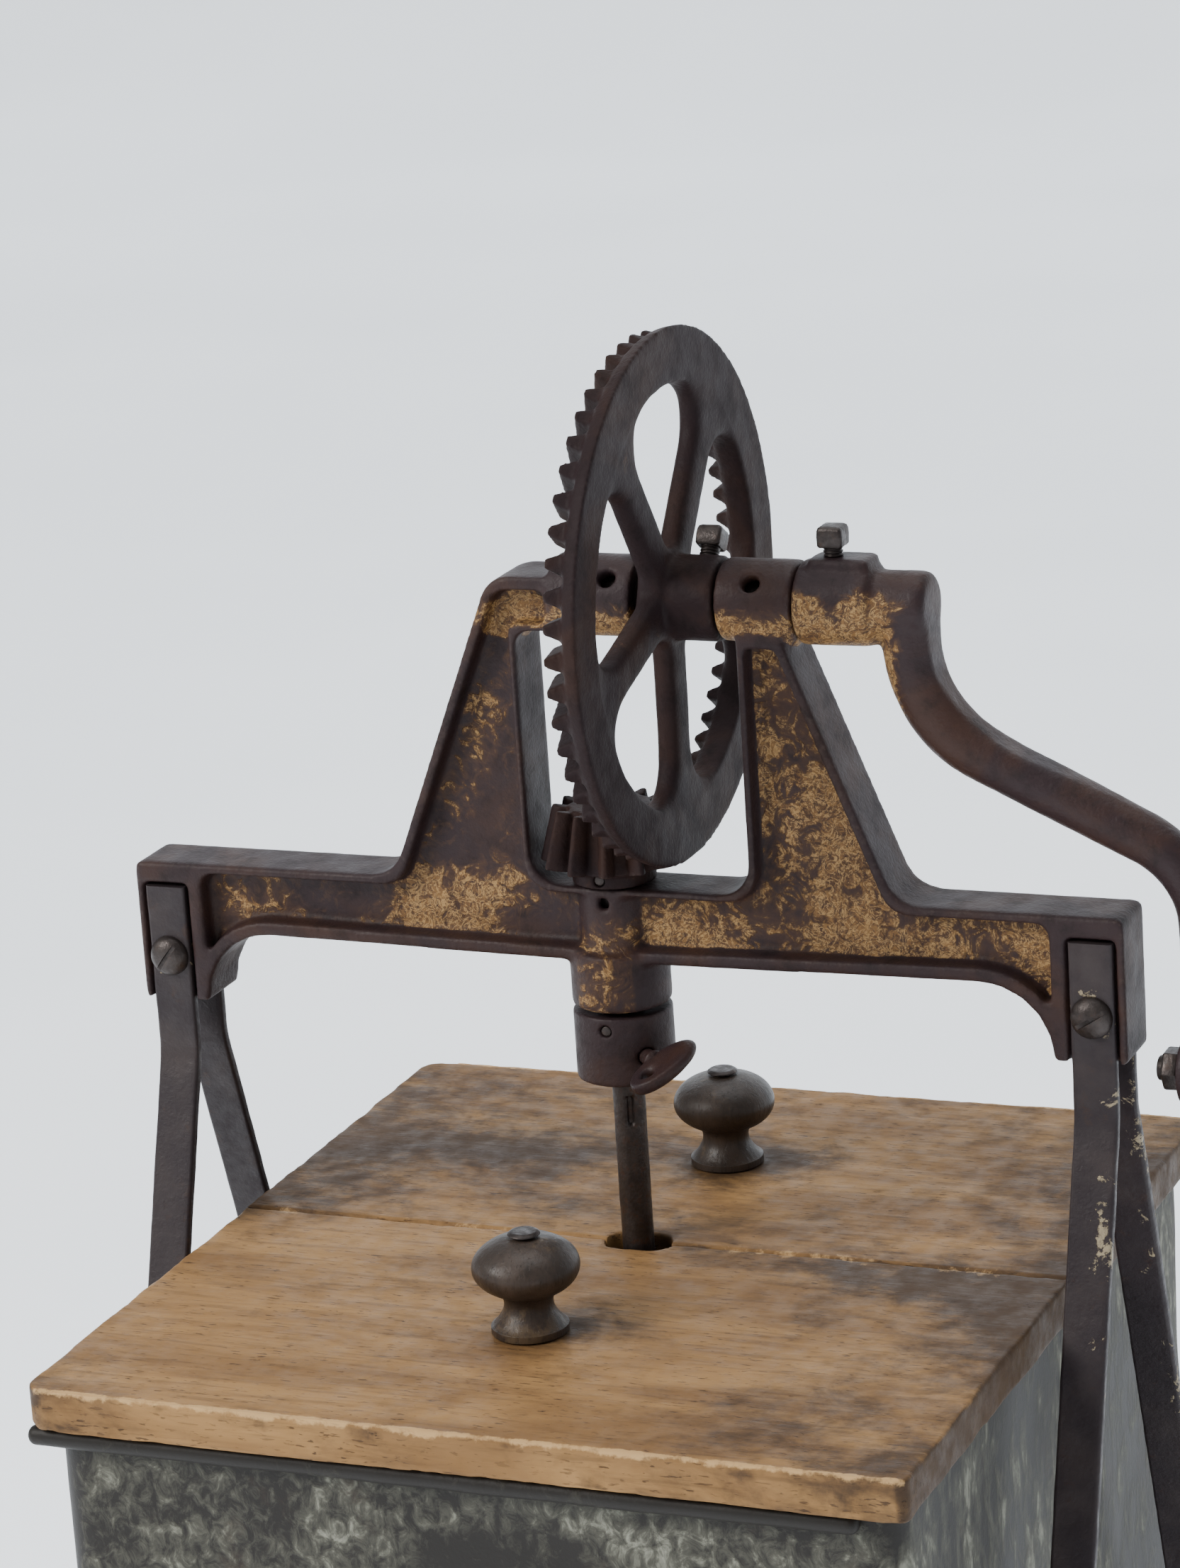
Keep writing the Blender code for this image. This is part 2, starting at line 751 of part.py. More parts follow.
def buildCleat(name, face, side, wood, churn):
    inner = tankMidY * (face > 0) + 0.014
    reach = tankHalfDepth - tankWall - cleatInset + face * tankMidY
    x = frameOffset + side * (tankHalfWidth - tankWall - cleatInset - cleatWidth / 2)
    yLow, yHigh = sorted((face * inner, face * reach))
    low = (x - cleatWidth / 2, yLow, lidBottomZ - gap - cleatThick)
    high = (x + cleatWidth / 2, yHigh, lidBottomZ - gap)
    return finish(box(name, low, high), wood, churn)


def buildKnob(name, face, wood, churn):
    x, y = knobPlace(face)
    bottom = lidTopZ + gap
    bulgeZ = 0.68 * knobHeight
    bulge = knobHeight - bulgeZ
    bore = knobScrewRadius + gap
    profile = [(bore, knobHeight)]
    for angle in (78, 60, 40, 20, 0, -25, -50):
        a = math.radians(angle)
        profile.append((knobRadius * math.cos(a), bulgeZ + bulge * math.sin(a)))
    profile += [(knobNeck, 0.30 * knobHeight), (knobNeck * 1.06, 0.20 * knobHeight)]
    profile += [(knobBase, 0.04 * knobHeight), (knobBase, 0), (bore, 0)]
    return finish(turned(name, profile, 28, "Z", (x, y, bottom)), wood, churn)


def buildKnobScrew(name, face, steel, churn):
    x, y = knobPlace(face)
    seat = lidTopZ + gap + knobHeight + gap
    end = lidBottomZ + gap
    profile = [(0, knobHeadHeight), (knobHeadRadius * 0.7, knobHeadHeight * 0.9), (knobHeadRadius, 0)]
    profile += [(knobScrewRadius, 0), (knobScrewRadius, end - seat), (0, end - seat)]
    return finish(turned(name, profile, 20, "Z", (x, y, seat)), steel, churn)


# ---- bevel gears ----


def gearTeeth(name, teeth, pitchAngle, heel, toe, profile, axis, toApex):
    """Straight bevel teeth, as one mesh of separate wedges from heel to toe.

    profile lists (height over the pitch cone, half width), in modules at the heel, up one flank.
    axis points from the apex into the gear. Each section is the heel's, shrunk towards the apex.
    """
    mesh = bpy.data.meshes.new(name)
    work = bmesh.new()
    axis = Vector(axis)
    across = Vector((0, 1, 0))
    up = axis.cross(across)
    flanks = [(h, -w) for h, w in profile] + [(h, w) for h, w in reversed(profile)]
    for k in range(teeth):
        angle = 2 * math.pi * k / teeth
        out = across * math.cos(angle) + up * math.sin(angle)
        side = axis.cross(out)
        along = axis * math.cos(pitchAngle) + out * math.sin(pitchAngle)
        rise = out * math.cos(pitchAngle) - axis * math.sin(pitchAngle)
        rings = []
        for distance in (heel, toe):
            scale = distance / toApex * module
            points = [along * distance + (rise * h + side * w) * scale for h, w in flanks]
            rings.append([work.verts.new(point) for point in points])
        work.faces.new(rings[0])
        work.faces.new(rings[1][::-1])
        for i in range(len(flanks)):
            j = (i + 1) % len(flanks)
            work.faces.new((rings[0][j], rings[0][i], rings[1][i], rings[1][j]))
    bmesh.ops.recalc_face_normals(work, faces=work.faces)
    work.to_mesh(mesh)
    work.free()
    made = bpy.data.objects.new(name, mesh)
    parts.objects.link(made)
    return made


def slack():
    """Half of the play between meshed teeth, in modules."""
    return backlash / module / 4


def wheelFlank():
    """A nearly flat gear has straight flanks at the pressure angle."""
    lean = math.tan(pressureAngle)
    half = math.pi / 4 - slack()
    return [(h, half - h * lean) for h in (-wheelDedendum - 0.3, wheelAddendum)]


def pinionFlank():
    """Involute flanks of the pinion's equivalent spur gear, in modules."""
    pitch = pinionTeeth / math.cos(pinionPitchAngle) / 2
    base = pitch * math.cos(pressureAngle)
    atPitch = math.tan(pressureAngle) - pressureAngle

    def halfWidth(radius):
        if radius <= base:
            inv = 0.0
        else:
            angle = math.acos(base / radius)
            inv = math.tan(angle) - angle
        return radius * (math.pi / 4 / pitch + atPitch - inv) - slack()

    heights = (-pinionDedendum - 0.3, base - pitch, 0.15, pinionAddendum * 0.6, pinionAddendum)
    return [(h, halfWidth(pitch + h)) for h in heights]


def spokeGap(k):
    """The opening between two spokes: pointed at the hub, with wide fillets at the rim."""
    middle = spokePhase + 2 * math.pi * (k + 0.5) / spokeCount
    half = math.pi / spokeCount
    side = half - math.asin(spokeWidth / 2 / rimInner)
    corners = [(spokeWidth / 2 / math.sin(half), 0, 0.005)]
    for share in (-1, -0.45, 0, 0.45, 1):
        corners.append((rimInner, side * share, spokeFillet if abs(share) == 1 else 0))
    return rounded([(r * math.cos(middle + a), r * math.sin(middle + a), fillet) for r, a, fillet in corners])


def buildWheel(iron, crankAxis):
    """Profile heights run along the shaft: the rim, with its toothed face towards the pinion."""
    wheelAngle = math.pi / 2 - pinionPitchAngle
    heel = wheelPitchRadius / math.sin(wheelAngle)
    toe = heel - faceWidth
    drop = wheelDedendum * module

    def root(distance):
        depth = drop * distance / heel
        x = distance * math.cos(wheelAngle) + depth * math.sin(wheelAngle)
        radius = distance * math.sin(wheelAngle) - depth * math.cos(wheelAngle)
        return radius, x

    heelRoot, toeRoot = root(heel), root(toe - 0.0002)
    profile = [
        (rimInner, rimBack),
        (rimOuter, rimBack),
        (rimOuter - 0.001, heelRoot[1] + 0.001),
        (heelRoot[0] + 0.002, heelRoot[1]),
        heelRoot,
        toeRoot,
        (rimInner - 0.0005, toeRoot[1] + 0.0015),
    ]
    wheel = turned("drive_wheel", profile, 104, "X")
    hub = cylinder("wheel_hub", wheelHubRadius, (wheelHubStart, 0, 0), (wheelHubEnd, 0, 0))
    add(wheel, hub)
    webOutline = arc(0, 0, rimInner + 0.003, 0, 356, 89)
    gaps = [spokeGap(k) for k in range(spokeCount)]
    add(wheel, plate("wheel_web", [webOutline] + gaps, spokeThick, "YZ", (rimBack + toeRoot[1]) / 2))
    teeth = gearTeeth("wheel_teeth", wheelTeeth, wheelAngle, heel, toe, wheelFlank(), (1, 0, 0), heel)
    add(wheel, teeth)
    ends = (wheelHubStart - 0.01, 0, 0), (wheelHubEnd + 0.01, 0, 0)
    cut(wheel, cylinder("wheel_bore", shaftRadius + gap, *ends))
    out = setScrewDirection()
    x = setScrewX()
    base = Vector((x, 0, 0))
    screwHole = cylinder("wheel_screw_hole", setScrewRadius + gap, base, base + out * 0.03, 16)
    cut(wheel, screwHole)
    return finish(wheel, iron, crankAxis)


def setScrewX():
    return wheelHubEnd - 0.0085


def setScrewDirection():
    angle = spokePhase + math.radians(4)
    return Vector((0, math.cos(angle), math.sin(angle)))


def buildPinion(iron, spindleAxis):
    """Heights are below the shaft's axis, where the gears' apex lies."""
    heelDistance = wheelPitchRadius / math.cos(pinionPitchAngle)
    heel = heelDistance + pinionHeel
    toe = heelDistance - faceWidth

    def root(distance):
        depth = pinionDedendum * module * distance / heelDistance
        radius = distance * math.sin(pinionPitchAngle) - depth * math.cos(pinionPitchAngle)
        drop = distance * math.cos(pinionPitchAngle) + depth * math.sin(pinionPitchAngle)
        return radius, -drop

    bore = spindleRadius + gap
    seat = armTopZ + gap - shaftZ
    topRoot, heelRoot = root(toe), root(heel)
    profile = [(bore, topRoot[1] + 0.0008), (topRoot[0], topRoot[1] + 0.0008), topRoot, heelRoot]
    profile += [(pinionHub, heelRoot[1] - 0.001), (pinionHub, seat), (bore, seat)]
    pinion = turned("bevel_pinion", profile, 36, "Z", (0, 0, shaftZ))
    teeth = gearTeeth(
        "pinion_teeth", pinionTeeth, pinionPitchAngle, heel, toe, pinionFlank(), (0, 0, -1), heelDistance
    )
    # A wheel tooth points straight down at rest, so a gap of the pinion faces the wheel at +X.
    half = math.pi / pinionTeeth
    teeth.data.transform(Matrix.Translation((0, 0, shaftZ)) @ Matrix.Rotation(half, 4, "Z"))
    add(pinion, teeth)
    z = pinionPinZ()
    pinHole = cylinder("pinion_pin_hole", crossPin + gap, (0, -0.04, z), (0, 0.04, z), 12)
    cut(pinion, pinHole)
    return finish(pinion, iron, spindleAxis)


def pinionPinZ():
    return armTopZ + gap + crossPin + 0.0014


# ---- crank ----


def buildShaft(steel, crankAxis):
    start, end = shaftBlindEnd + gap, crankHubEnd - 0.001
    shaft = cylinder("drive_shaft", shaftRadius, (start, 0, 0), (end, 0, 0))
    return finish(shaft, steel, crankAxis)


def buildSetScrew(name, x, out, seat, steel, crankAxis):
    """A square-headed screw, whose tip stops at the shaft."""
    out = Vector(out)
    base = Vector((x, 0, 0))
    tip = base + out * (shaftRadius + gap)
    screw = cylinder(name, setScrewRadius, tip, base + out * (seat + setNeck + 0.001), 16)
    tilt = math.atan2(-out.y, out.z)
    low = (-setHeadHalf, -setHeadHalf, seat + setNeck)
    head = box(f"{name}_head", low, (setHeadHalf, setHeadHalf, seat + setNeck + setHeadHeight))
    head.data.transform(Matrix.Translation((x, 0, 0)) @ Matrix.Rotation(tilt, 4, "X"))
    add(screw, head)
    return finish(screw, steel, crankAxis)


def armPath():
    return rounded(
        [
            (armRootX, -0.002, 0),
            (armRootX, -armDrop, 0.045),
            (armEndX, -armDrop - armRise, 0.036),
            (armEndX, -crankRadius, 0),
        ],
        12.0,
    )


def buildCrankArm(iron, crankAxis):
    path = armPath()
    radii = []
    for x, z in path:
        share = min(1.0, max(0.0, -z / (armDrop + armRise)))
        radii.append(armRootRadius + (armRadius - armRootRadius) * share)
    arm = tube("crank_arm", [(x, 0, z) for x, z in path], radii)
    # Past the hub a smaller shoulder runs on over the top of the arm, and its far end is rounded.
    end = armRootX + armRootRadius - 0.0006 - crankHubStart
    edge = shoulderEdge
    hubProfile = [(0, end)]
    hubProfile += [(shoulderRadius - edge + u, end - edge + v) for u, v in arc(0, 0, edge, 90, 0, 4)]
    hubProfile += [(shoulderRadius, crankHubLength + shoulderStep), (crankHubRadius, crankHubLength)]
    hubProfile += [(crankHubRadius, 0), (0, 0)]
    add(arm, turned("crank_hub", hubProfile, 32, "X", (crankHubStart, 0, 0)))
    padLow = (crankHubStart + 0.004, -0.008, 0)
    padHigh = (crankHubEnd, 0.008, crankHubRadius + 0.0018)
    add(arm, box("crank_pad", padLow, padHigh))
    add(arm, cylinder("crank_eye", eyeRadius, (eyeStart, 0, -crankRadius), (eyeEnd, 0, -crankRadius), 28))
    boreEnd = crankHubEnd - 0.0005
    cut(arm, cylinder("crank_bore", shaftRadius + gap, (crankHubStart - 0.01, 0, 0), (boreEnd, 0, 0)))
    eyeAxis = (eyeStart - 0.01, 0, -crankRadius), (eyeEnd + 0.01, 0, -crankRadius)
    cut(arm, cylinder("crank_eye_bore", gripBoltRadius + gap, *eyeAxis, 20))
    x = crankScrewX()
    cut(arm, cylinder("crank_screw_hole", setScrewRadius + gap, (x, 0, 0), (x, 0, 0.03), 16))
    return finish(arm, iron, crankAxis)


def crankScrewX():
    return crankHubStart + 0.012


def buildGrip(wood, gripAxis):
    """A barrel grip that is thickest past its middle."""
    bore = gripBoltRadius + gap
    stations = [i / 8 for i in range(9)]
    profile = [(bore, 0)]
    for t in stations:
        swell = 0.72 + 0.28 * math.sin(math.pi * (0.12 + 0.8 * t)) ** 1.2
        profile.append((gripRadius * swell, gripLength * t))
    profile.append((bore, gripLength))
    return finish(turned("crank_grip", profile[::-1], 28, "X", (gripStart, 0, 0)), wood, gripAxis)


def buildGripBolt(steel, crankAxis):
    z = -crankRadius
    end = eyeStart - 2 * gap - nutThick - 0.002
    bolt = cylinder("grip_bolt", gripBoltRadius, (end, 0, z), (gripEnd + gap + 0.001, 0, z), 20)
    add(bolt, cylinder("grip_bolt_head", gripHeadRadius, (gripEnd + gap, 0, z), (boltEnd, 0, z), 20))
    return finish(bolt, steel, crankAxis)


def buildGripNut(steel, crankAxis):
    z = -crankRadius
    end = eyeStart - gap
    nut = cylinder("grip_nut", nutHalf * 1.2, (end - nutThick, 0, z), (end, 0, z), 6)
    start = end - nutThick - 0.01
    cut(nut, cylinder("grip_nut_bore", gripBoltRadius + gap, (start, 0, z), (end + 0.01, 0, z), 20))
    return finish(nut, steel, crankAxis)


def buildWasher(steel, crankAxis):
    z = -crankRadius
    start = eyeEnd + gap
    washer = cylinder("grip_washer", eyeRadius, (start, 0, z), (start + washerThick, 0, z), 28)
    ends = (start - 0.01, 0, z), (start + 0.01, 0, z)
    cut(washer, cylinder("washer_bore", gripBoltRadius + gap, *ends, 20))
    return finish(washer, steel, crankAxis)


# ---- spindle, collar and dasher ----


def spindleBottomZ():
    return lidTopZ + collarTop - 0.012


def buildSpindle(steel, spindleAxis):
    topZ = shaftZ - (wheelPitchRadius / math.cos(pinionPitchAngle) - faceWidth) * math.cos(pinionPitchAngle)
    spindle = cylinder("pinion_spindle", spindleRadius, (0, 0, spindleBottomZ()), (0, 0, topZ))
    for name, z in (("upper", pinionPinZ()), ("lower", collarPinZ())):
        cut(spindle, cylinder(f"spindle_hole_{name}", crossPin + gap, (0, -0.04, z), (0, 0.04, z), 12))
    return finish(spindle, steel, spindleAxis)


def collarPinZ():
    return lidTopZ + collarTop - 0.005


def buildCrossPin(name, z, half, steel, spindleAxis):
    return finish(cylinder(name, crossPin, (0, -half, z), (0, half, z), 12), steel, spindleAxis)


def buildCollar(iron, spindleAxis):
    low, high = lidTopZ + collarBottom, lidTopZ + collarTop
    collar = cylinder("coupling_collar", collarRadius, (0, 0, low), (0, 0, high), 36)
    step = spindleBottomZ() - gap
    cut(collar, cylinder("collar_upper_bore", spindleRadius + gap, (0, 0, step), (0, 0, high + 0.01)))
    cut(collar, cylinder("collar_lower_bore", rodRadius + gap, (0, 0, low - 0.01), (0, 0, step + 0.001), 24))
    z = collarPinZ()
    cut(collar, cylinder("collar_pin_hole", crossPin + gap, (0, -0.04, z), (0, 0.04, z), 12))
    thumbZ = lidTopZ + thumbHeight
    out = Vector((math.cos(thumbAzimuth), math.sin(thumbAzimuth), 0))
    start = Vector((0, 0, thumbZ))
    cut(collar, cylinder("thumb_hole", thumbShank + gap, start, start + out * 0.03, 16))
    return finish(collar, iron, spindleAxis)


def buildThumbScrew(steel, thumbAxis):
    """A screw with a flat oval head, built along +X from the collar's axis and turned with its empty."""
    tip = rodRadius + 2 * gap
    headStart = collarRadius + 0.0045
    screw = cylinder("thumb_screw", thumbShank, (tip, 0, 0), (headStart + 0.002, 0, 0), 16)
    middle = headStart + thumbReach
    turns = [2 * math.pi * k / 24 for k in range(24)]
    oval = [(middle + thumbReach * math.cos(t), thumbHalfLength * math.sin(t)) for t in turns]
    head = plate("thumb_head", [oval], thumbThick, "XY", 0)
    head.data.transform(Matrix.Rotation(thumbTilt, 4, "X"))
    add(screw, head)
    return finish(screw, steel, thumbAxis)


def rodBottomZ():
    return tankBottomZ + bottomRecess + gap + pivotFlangeThick + gap


def buildRod(steel, spindleAxis):
    top = spindleBottomZ() - 2 * gap
    rod = cylinder("dasher_rod", rodRadius, (0, 0, rodBottomZ()), (0, 0, top), 24)
    z = hubPinZ()
    cut(rod, cylinder("rod_pin_hole", crossPin + gap, (0, -0.04, z), (0, 0.04, z), 12))
    return finish(rod, steel, spindleAxis)


def hubBottomZ():
    return rodBottomZ() + hubClearance


def hubPinZ():
    return hubBottomZ() + hubHeight - 0.010


def buildDasherHub(wood, spindleAxis):
    low, high = hubBottomZ(), hubBottomZ() + hubHeight
    outline = roundedBox(hubHalf, hubHalf, 0.004)
    hub = plate("dasher_hub", [outline], hubHeight, "XY", (low + high) / 2)
    cut(hub, cylinder("hub_bore", rodRadius + gap, (0, 0, low - 0.01), (0, 0, high + 0.01), 24))
    cut(hub, cylinder("hub_pin_hole", crossPin + gap, (0, -0.04, hubPinZ()), (0, 0.04, hubPinZ()), 12))
    bladeLow, bladeHigh = bladeSpan()
    for k in range(4):
        seat = hubHalf - bladeSeat - gap
        half = bladeThick / 2 + gap
        far = (hubHalf + 0.01, half, bladeHigh + gap)
        groove = box(f"blade_groove_{k}", (seat, -half, bladeLow - gap), far)
        groove.data.transform(Matrix.Rotation(k * math.pi / 2, 4, "Z"))
        cut(hub, groove)
    return finish(hub, wood, spindleAxis)


def bladeSpan():
    middle = hubBottomZ() + hubHeight / 2 - 0.008
    return middle - bladeHeight / 2, middle + bladeHeight / 2


def buildBlade(name, k, wood, spindleAxis):
    """One of four boards that stand out from the hub."""
    low, high = bladeSpan()
    start = hubHalf - bladeSeat
    end = start + bladeLength
    corners = [(start, low, 0), (end, low, bladeCorner), (end, high, bladeCorner), (start, high, 0)]
    blade = plate(name, [rounded(corners)], bladeThick, "XZ", 0)
    blade.data.transform(Matrix.Rotation(k * math.pi / 2, 4, "Z"))
    return finish(blade, wood, spindleAxis)


def buildPivotCup(iron, churn):
    seat = tankBottomZ + bottomRecess + gap
    bore = rodRadius + gap
    profile = [
        (bore, pivotHeight),
        (pivotRadius, pivotHeight),
        (pivotRadius, pivotFlangeThick + 0.001),
        (pivotFlange, pivotFlangeThick),
        (pivotFlange, 0),
        (0, 0),
    ]
    section = [(0, pivotFlangeThick), (bore, pivotFlangeThick)] + profile
    cup = turned("pivot_cup", section, 28, "Z", (0, 0, seat))
    return finish(cup, iron, churn)


def main():
    startScene()
    iron = makeMaterial("cast_iron", (0.060, 0.047, 0.045), 0.6, 0.55)
    steel = makeMaterial("dark_steel", (0.075, 0.062, 0.058), 0.8, 0.5)
    sheet = makeMaterial("galvanised_sheet", (0.19, 0.20, 0.17), 0.6, 0.6)
    lidWood = makeMaterial("worn_lid_wood", (0.30, 0.19, 0.10), 0.0, 0.6)
    darkWood = makeMaterial("dark_turned_wood", (0.060, 0.046, 0.040), 0.0, 0.45)
    paleWood = makeMaterial("dasher_wood", (0.35, 0.24, 0.14), 0.0, 0.7)

    churn = addEmpty("churn_base", (spindleX, spindleY, 0))
    crankAxis = addEmpty("crank_axis", (0, 0, shaftZ), churn)
    gripAxis = addEmpty("grip_axis", (0, 0, -crankRadius), crankAxis)
    spindleAxis = addEmpty("spindle_axis", (0, 0, 0), churn)
    thumbAxis = addEmpty("thumb_axis", (0, 0, lidTopZ + thumbHeight), spindleAxis)
    thumbAxis.rotation_euler = (0, 0, thumbAzimuth)

    buildFrame(iron, churn)
    buildTank(sheet, churn)
    buildTankBottom(sheet, churn)
    buildPivotCup(iron, churn)
    for face, faceName in ((-1, "front"), (1, "back")):
        buildBaseBar(f"base_bar_{faceName}", face, steel, churn)
        buildLidHalf(f"lid_{faceName}", face, lidWood, churn)
        buildKnob(f"knob_{faceName}", face, darkWood, churn)
        buildKnobScrew(f"knob_screw_{faceName}", face, steel, churn)
        for side, sideName in ((-1, "left"), (1, "right")):
            buildLeg(f"leg_{sideName}_{faceName}", side, face, steel, churn)
            buildRivet(f"foot_rivet_{sideName}_{faceName}", side, face, steel, churn)
            buildCleat(f"lid_cleat_{sideName}_{faceName}", face, side, lidWood, churn)
    for side, sideName in ((-1, "left"), (1, "right")):
        buildFrameBolt(f"frame_bolt_{sideName}", side, steel, churn)
        buildFrameNut(f"frame_nut_{sideName}", side, steel, churn)

    buildWheel(iron, crankAxis)
    buildShaft(steel, crankAxis)
    buildSetScrew("wheel_set_screw", setScrewX(), setScrewDirection(), wheelHubRadius, steel, crankAxis)
    buildCrankArm(iron, crankAxis)
    buildSetScrew("crank_set_screw", crankScrewX(), (0, 0, 1), crankHubRadius + 0.0018, steel, crankAxis)
    buildGripBolt(steel, crankAxis)
    buildGripNut(steel, crankAxis)
    buildWasher(steel, crankAxis)
    buildGrip(darkWood, gripAxis)

    buildPinion(iron, spindleAxis)
    buildSpindle(steel, spindleAxis)
    buildCrossPin("pinion_pin", pinionPinZ(), pinionHub - 0.0008, steel, spindleAxis)
    buildCollar(iron, spindleAxis)
    buildCrossPin("collar_pin", collarPinZ(), collarRadius - 0.001, steel, spindleAxis)
    buildThumbScrew(steel, thumbAxis)
    buildRod(steel, spindleAxis)
    buildDasherHub(paleWood, spindleAxis)
    buildCrossPin("hub_pin", hubPinZ(), hubHalf - 0.001, steel, spindleAxis)
    for k in range(4):
        buildBlade(f"dasher_blade_{k + 1}", k, paleWood, spindleAxis)


main()
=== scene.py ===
import math

import bmesh
import bpy
import numpy as np
from mathutils import Matrix, Vector


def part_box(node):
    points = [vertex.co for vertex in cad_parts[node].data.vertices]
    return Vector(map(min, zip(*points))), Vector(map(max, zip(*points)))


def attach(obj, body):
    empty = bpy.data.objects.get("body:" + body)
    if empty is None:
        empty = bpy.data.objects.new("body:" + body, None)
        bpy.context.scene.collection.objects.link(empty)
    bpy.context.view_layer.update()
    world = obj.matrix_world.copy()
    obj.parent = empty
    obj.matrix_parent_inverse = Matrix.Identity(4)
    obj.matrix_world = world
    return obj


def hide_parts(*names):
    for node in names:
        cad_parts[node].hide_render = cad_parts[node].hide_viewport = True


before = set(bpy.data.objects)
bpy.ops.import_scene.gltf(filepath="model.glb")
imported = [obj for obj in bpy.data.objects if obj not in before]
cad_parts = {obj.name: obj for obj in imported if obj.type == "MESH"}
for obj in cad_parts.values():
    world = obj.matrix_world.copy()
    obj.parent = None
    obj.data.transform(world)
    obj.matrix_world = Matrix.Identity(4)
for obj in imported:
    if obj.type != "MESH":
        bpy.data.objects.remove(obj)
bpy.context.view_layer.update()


# ---------- places read from the frame ----------

def span(node):
    low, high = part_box(node)
    return np.array(low), np.array(high)


def middle(node):
    low, high = span(node)
    return (low + high) / 2


def footOf(node):
    # The middle of the node's box, at its lowest height.
    low, high = span(node)
    return np.array([*(low + high)[:2] / 2, low[2]])


spindleX, spindleY = middle("pinion_spindle")[:2]
shaftY, shaftZ = middle("drive_shaft")[1:]
gripZ = middle("crank_grip")[2]
frameLow = span("gear_frame")[0]
tankLow, tankHigh = span("tank_shell")
lidBottom, lidTop = span("lid_front")[0][2], span("lid_front")[1][2]


# ---------- numbers that stand in for chance ----------

def wobble(points, size, seed, waves=14):
    # Sum of sine waves in random directions, each about size metres long; runs from about -1 to 1.
    draw = np.random.default_rng(seed)
    way = draw.normal(size=(waves, 3))
    way /= np.linalg.norm(way, axis=1)[:, None]
    length = size * draw.uniform(0.7, 1.6, waves)
    phase = draw.uniform(0, 2 * np.pi, waves)
    waved = np.sin(points @ (way / length[:, None]).T * 2 * np.pi + phase)
    return waved.sum(-1) / math.sqrt(waves) / 1.4


def eased(value, low, high):
    # Smooth step from 0 at low to 1 at high; low may be the larger one.
    share = np.clip((value - low) / (high - low), 0, 1)
    return share * share * (3 - 2 * share)


def sunk(value):
    # From 1 where the wobble is lowest to 0 where it is highest.
    return 0.5 - 0.5 * np.clip(value, -1, 1)


def fallen(radius, distance):
    # How far a quarter circle has dropped at a distance from the edge where it ends.
    into = np.clip(radius - distance, 0, radius)
    return radius - np.sqrt(np.maximum(radius ** 2 - into ** 2, 0))


# ---------- outlines and paths ----------

def filleted(corners, closed=False, steps=7):
    # Each corner (u, v, radius) becomes an arc of that radius, tangent to both of its sides.
    corners = np.array(corners, float)
    count = len(corners)
    stretches = []
    for i, (u, v, radius) in enumerate(corners):
        here = np.array([u, v])
        if radius <= 0 or (not closed and i in (0, count - 1)):
            stretches.append(here[None])
            continue
        before = corners[i - 1, :2] - here
        after = corners[(i + 1) % count, :2] - here
        before, after = before / np.linalg.norm(before), after / np.linalg.norm(after)
        half = math.acos(np.clip(before @ after, -1, 1)) / 2
        centre = here + (before + after) / np.linalg.norm(before + after) * radius / math.sin(half)
        first = here + before * radius / math.tan(half) - centre
        last = here + after * radius / math.tan(half) - centre
        turn = math.pi - 2 * half
        share = np.linspace(0, 1, steps + 1)[:, None] * turn
        stretches.append(centre + (np.sin(turn - share) * first + np.sin(share) * last) / math.sin(turn))
    outline = np.concatenate(stretches)
    return np.vstack([outline, outline[:1]]) if closed else outline


def divided(points, step):
    # Straight stretches get extra points, no further apart than step.
    points = np.asarray(points, float)
    leap = np.diff(points, axis=0)
    counts = np.maximum(1, np.ceil(np.linalg.norm(leap, axis=1) / step)).astype(int)
    index = np.repeat(np.arange(len(leap)), counts)
    start = np.repeat(np.cumsum(counts) - counts, counts)
    share = (np.arange(counts.sum()) - start) / np.repeat(counts, counts)
    return np.vstack([points[index] + leap[index] * share[:, None], points[-1:]])


def roundedRectangle(halfU, halfV, radius, steps=7):
    signs = ((-1, -1), (1, -1), (1, 1), (-1, 1))
    return filleted([(a * halfU, b * halfV, radius) for a, b in signs], True, steps)


def barProfile(radius, length, edge, steps=7, foot=None):
    # The profile of a round bar. Its rims are rounded by edge, or by foot at the start.
    first = edge if foot is None else foot
    return filleted([(0, 0, 0), (radius, 0, first), (radius, length, edge), (0, length, 0)], steps=steps)


def spaced(length, ease, step):
    # Stations from 0 to length, close together inside the eased edge at each end.
    turn = np.linspace(0, np.pi / 2, 5)
    edge = ease * (1 - np.cos(turn))
    count = max(2, int(round((length - 2 * ease) / step)) + 1)
    inner = np.linspace(ease, length - ease, count)[1:-1]
    return np.concatenate([edge, inner, length - edge[::-1]])


# ---------- surfaces ----------

def gridSurface(grid):
    # A grid of points (rows, columns, 3) as quads; seams and poles close when doubles are merged.
    rows, columns = grid.shape[:2]
    index = np.arange(rows * columns).reshape(rows, columns)
    quads = np.stack([index[:-1, :-1], index[1:, :-1], index[1:, 1:], index[:-1, 1:]], -1)
    return grid.reshape(-1, grid.shape[2]), quads.reshape(-1, 4)


def turned(profile, centre, axis="Z", sides=96):
    # A point at (radius, height) of the profile goes round the axis: radius cos t, radius sin t, height.
    profile = np.asarray(profile, float)
    turn = np.linspace(0, 2 * np.pi, sides + 1)
    turn[-1] = 0
    across = profile[:, :1] * np.cos(turn)
    upward = profile[:, :1] * np.sin(turn)
    along = np.broadcast_to(profile[:, 1:], across.shape)
    order = {"X": (along, across, upward), "Y": (upward, along, across), "Z": (across, upward, along)}[axis]
    return gridSurface(np.stack(order, -1) + np.asarray(centre))


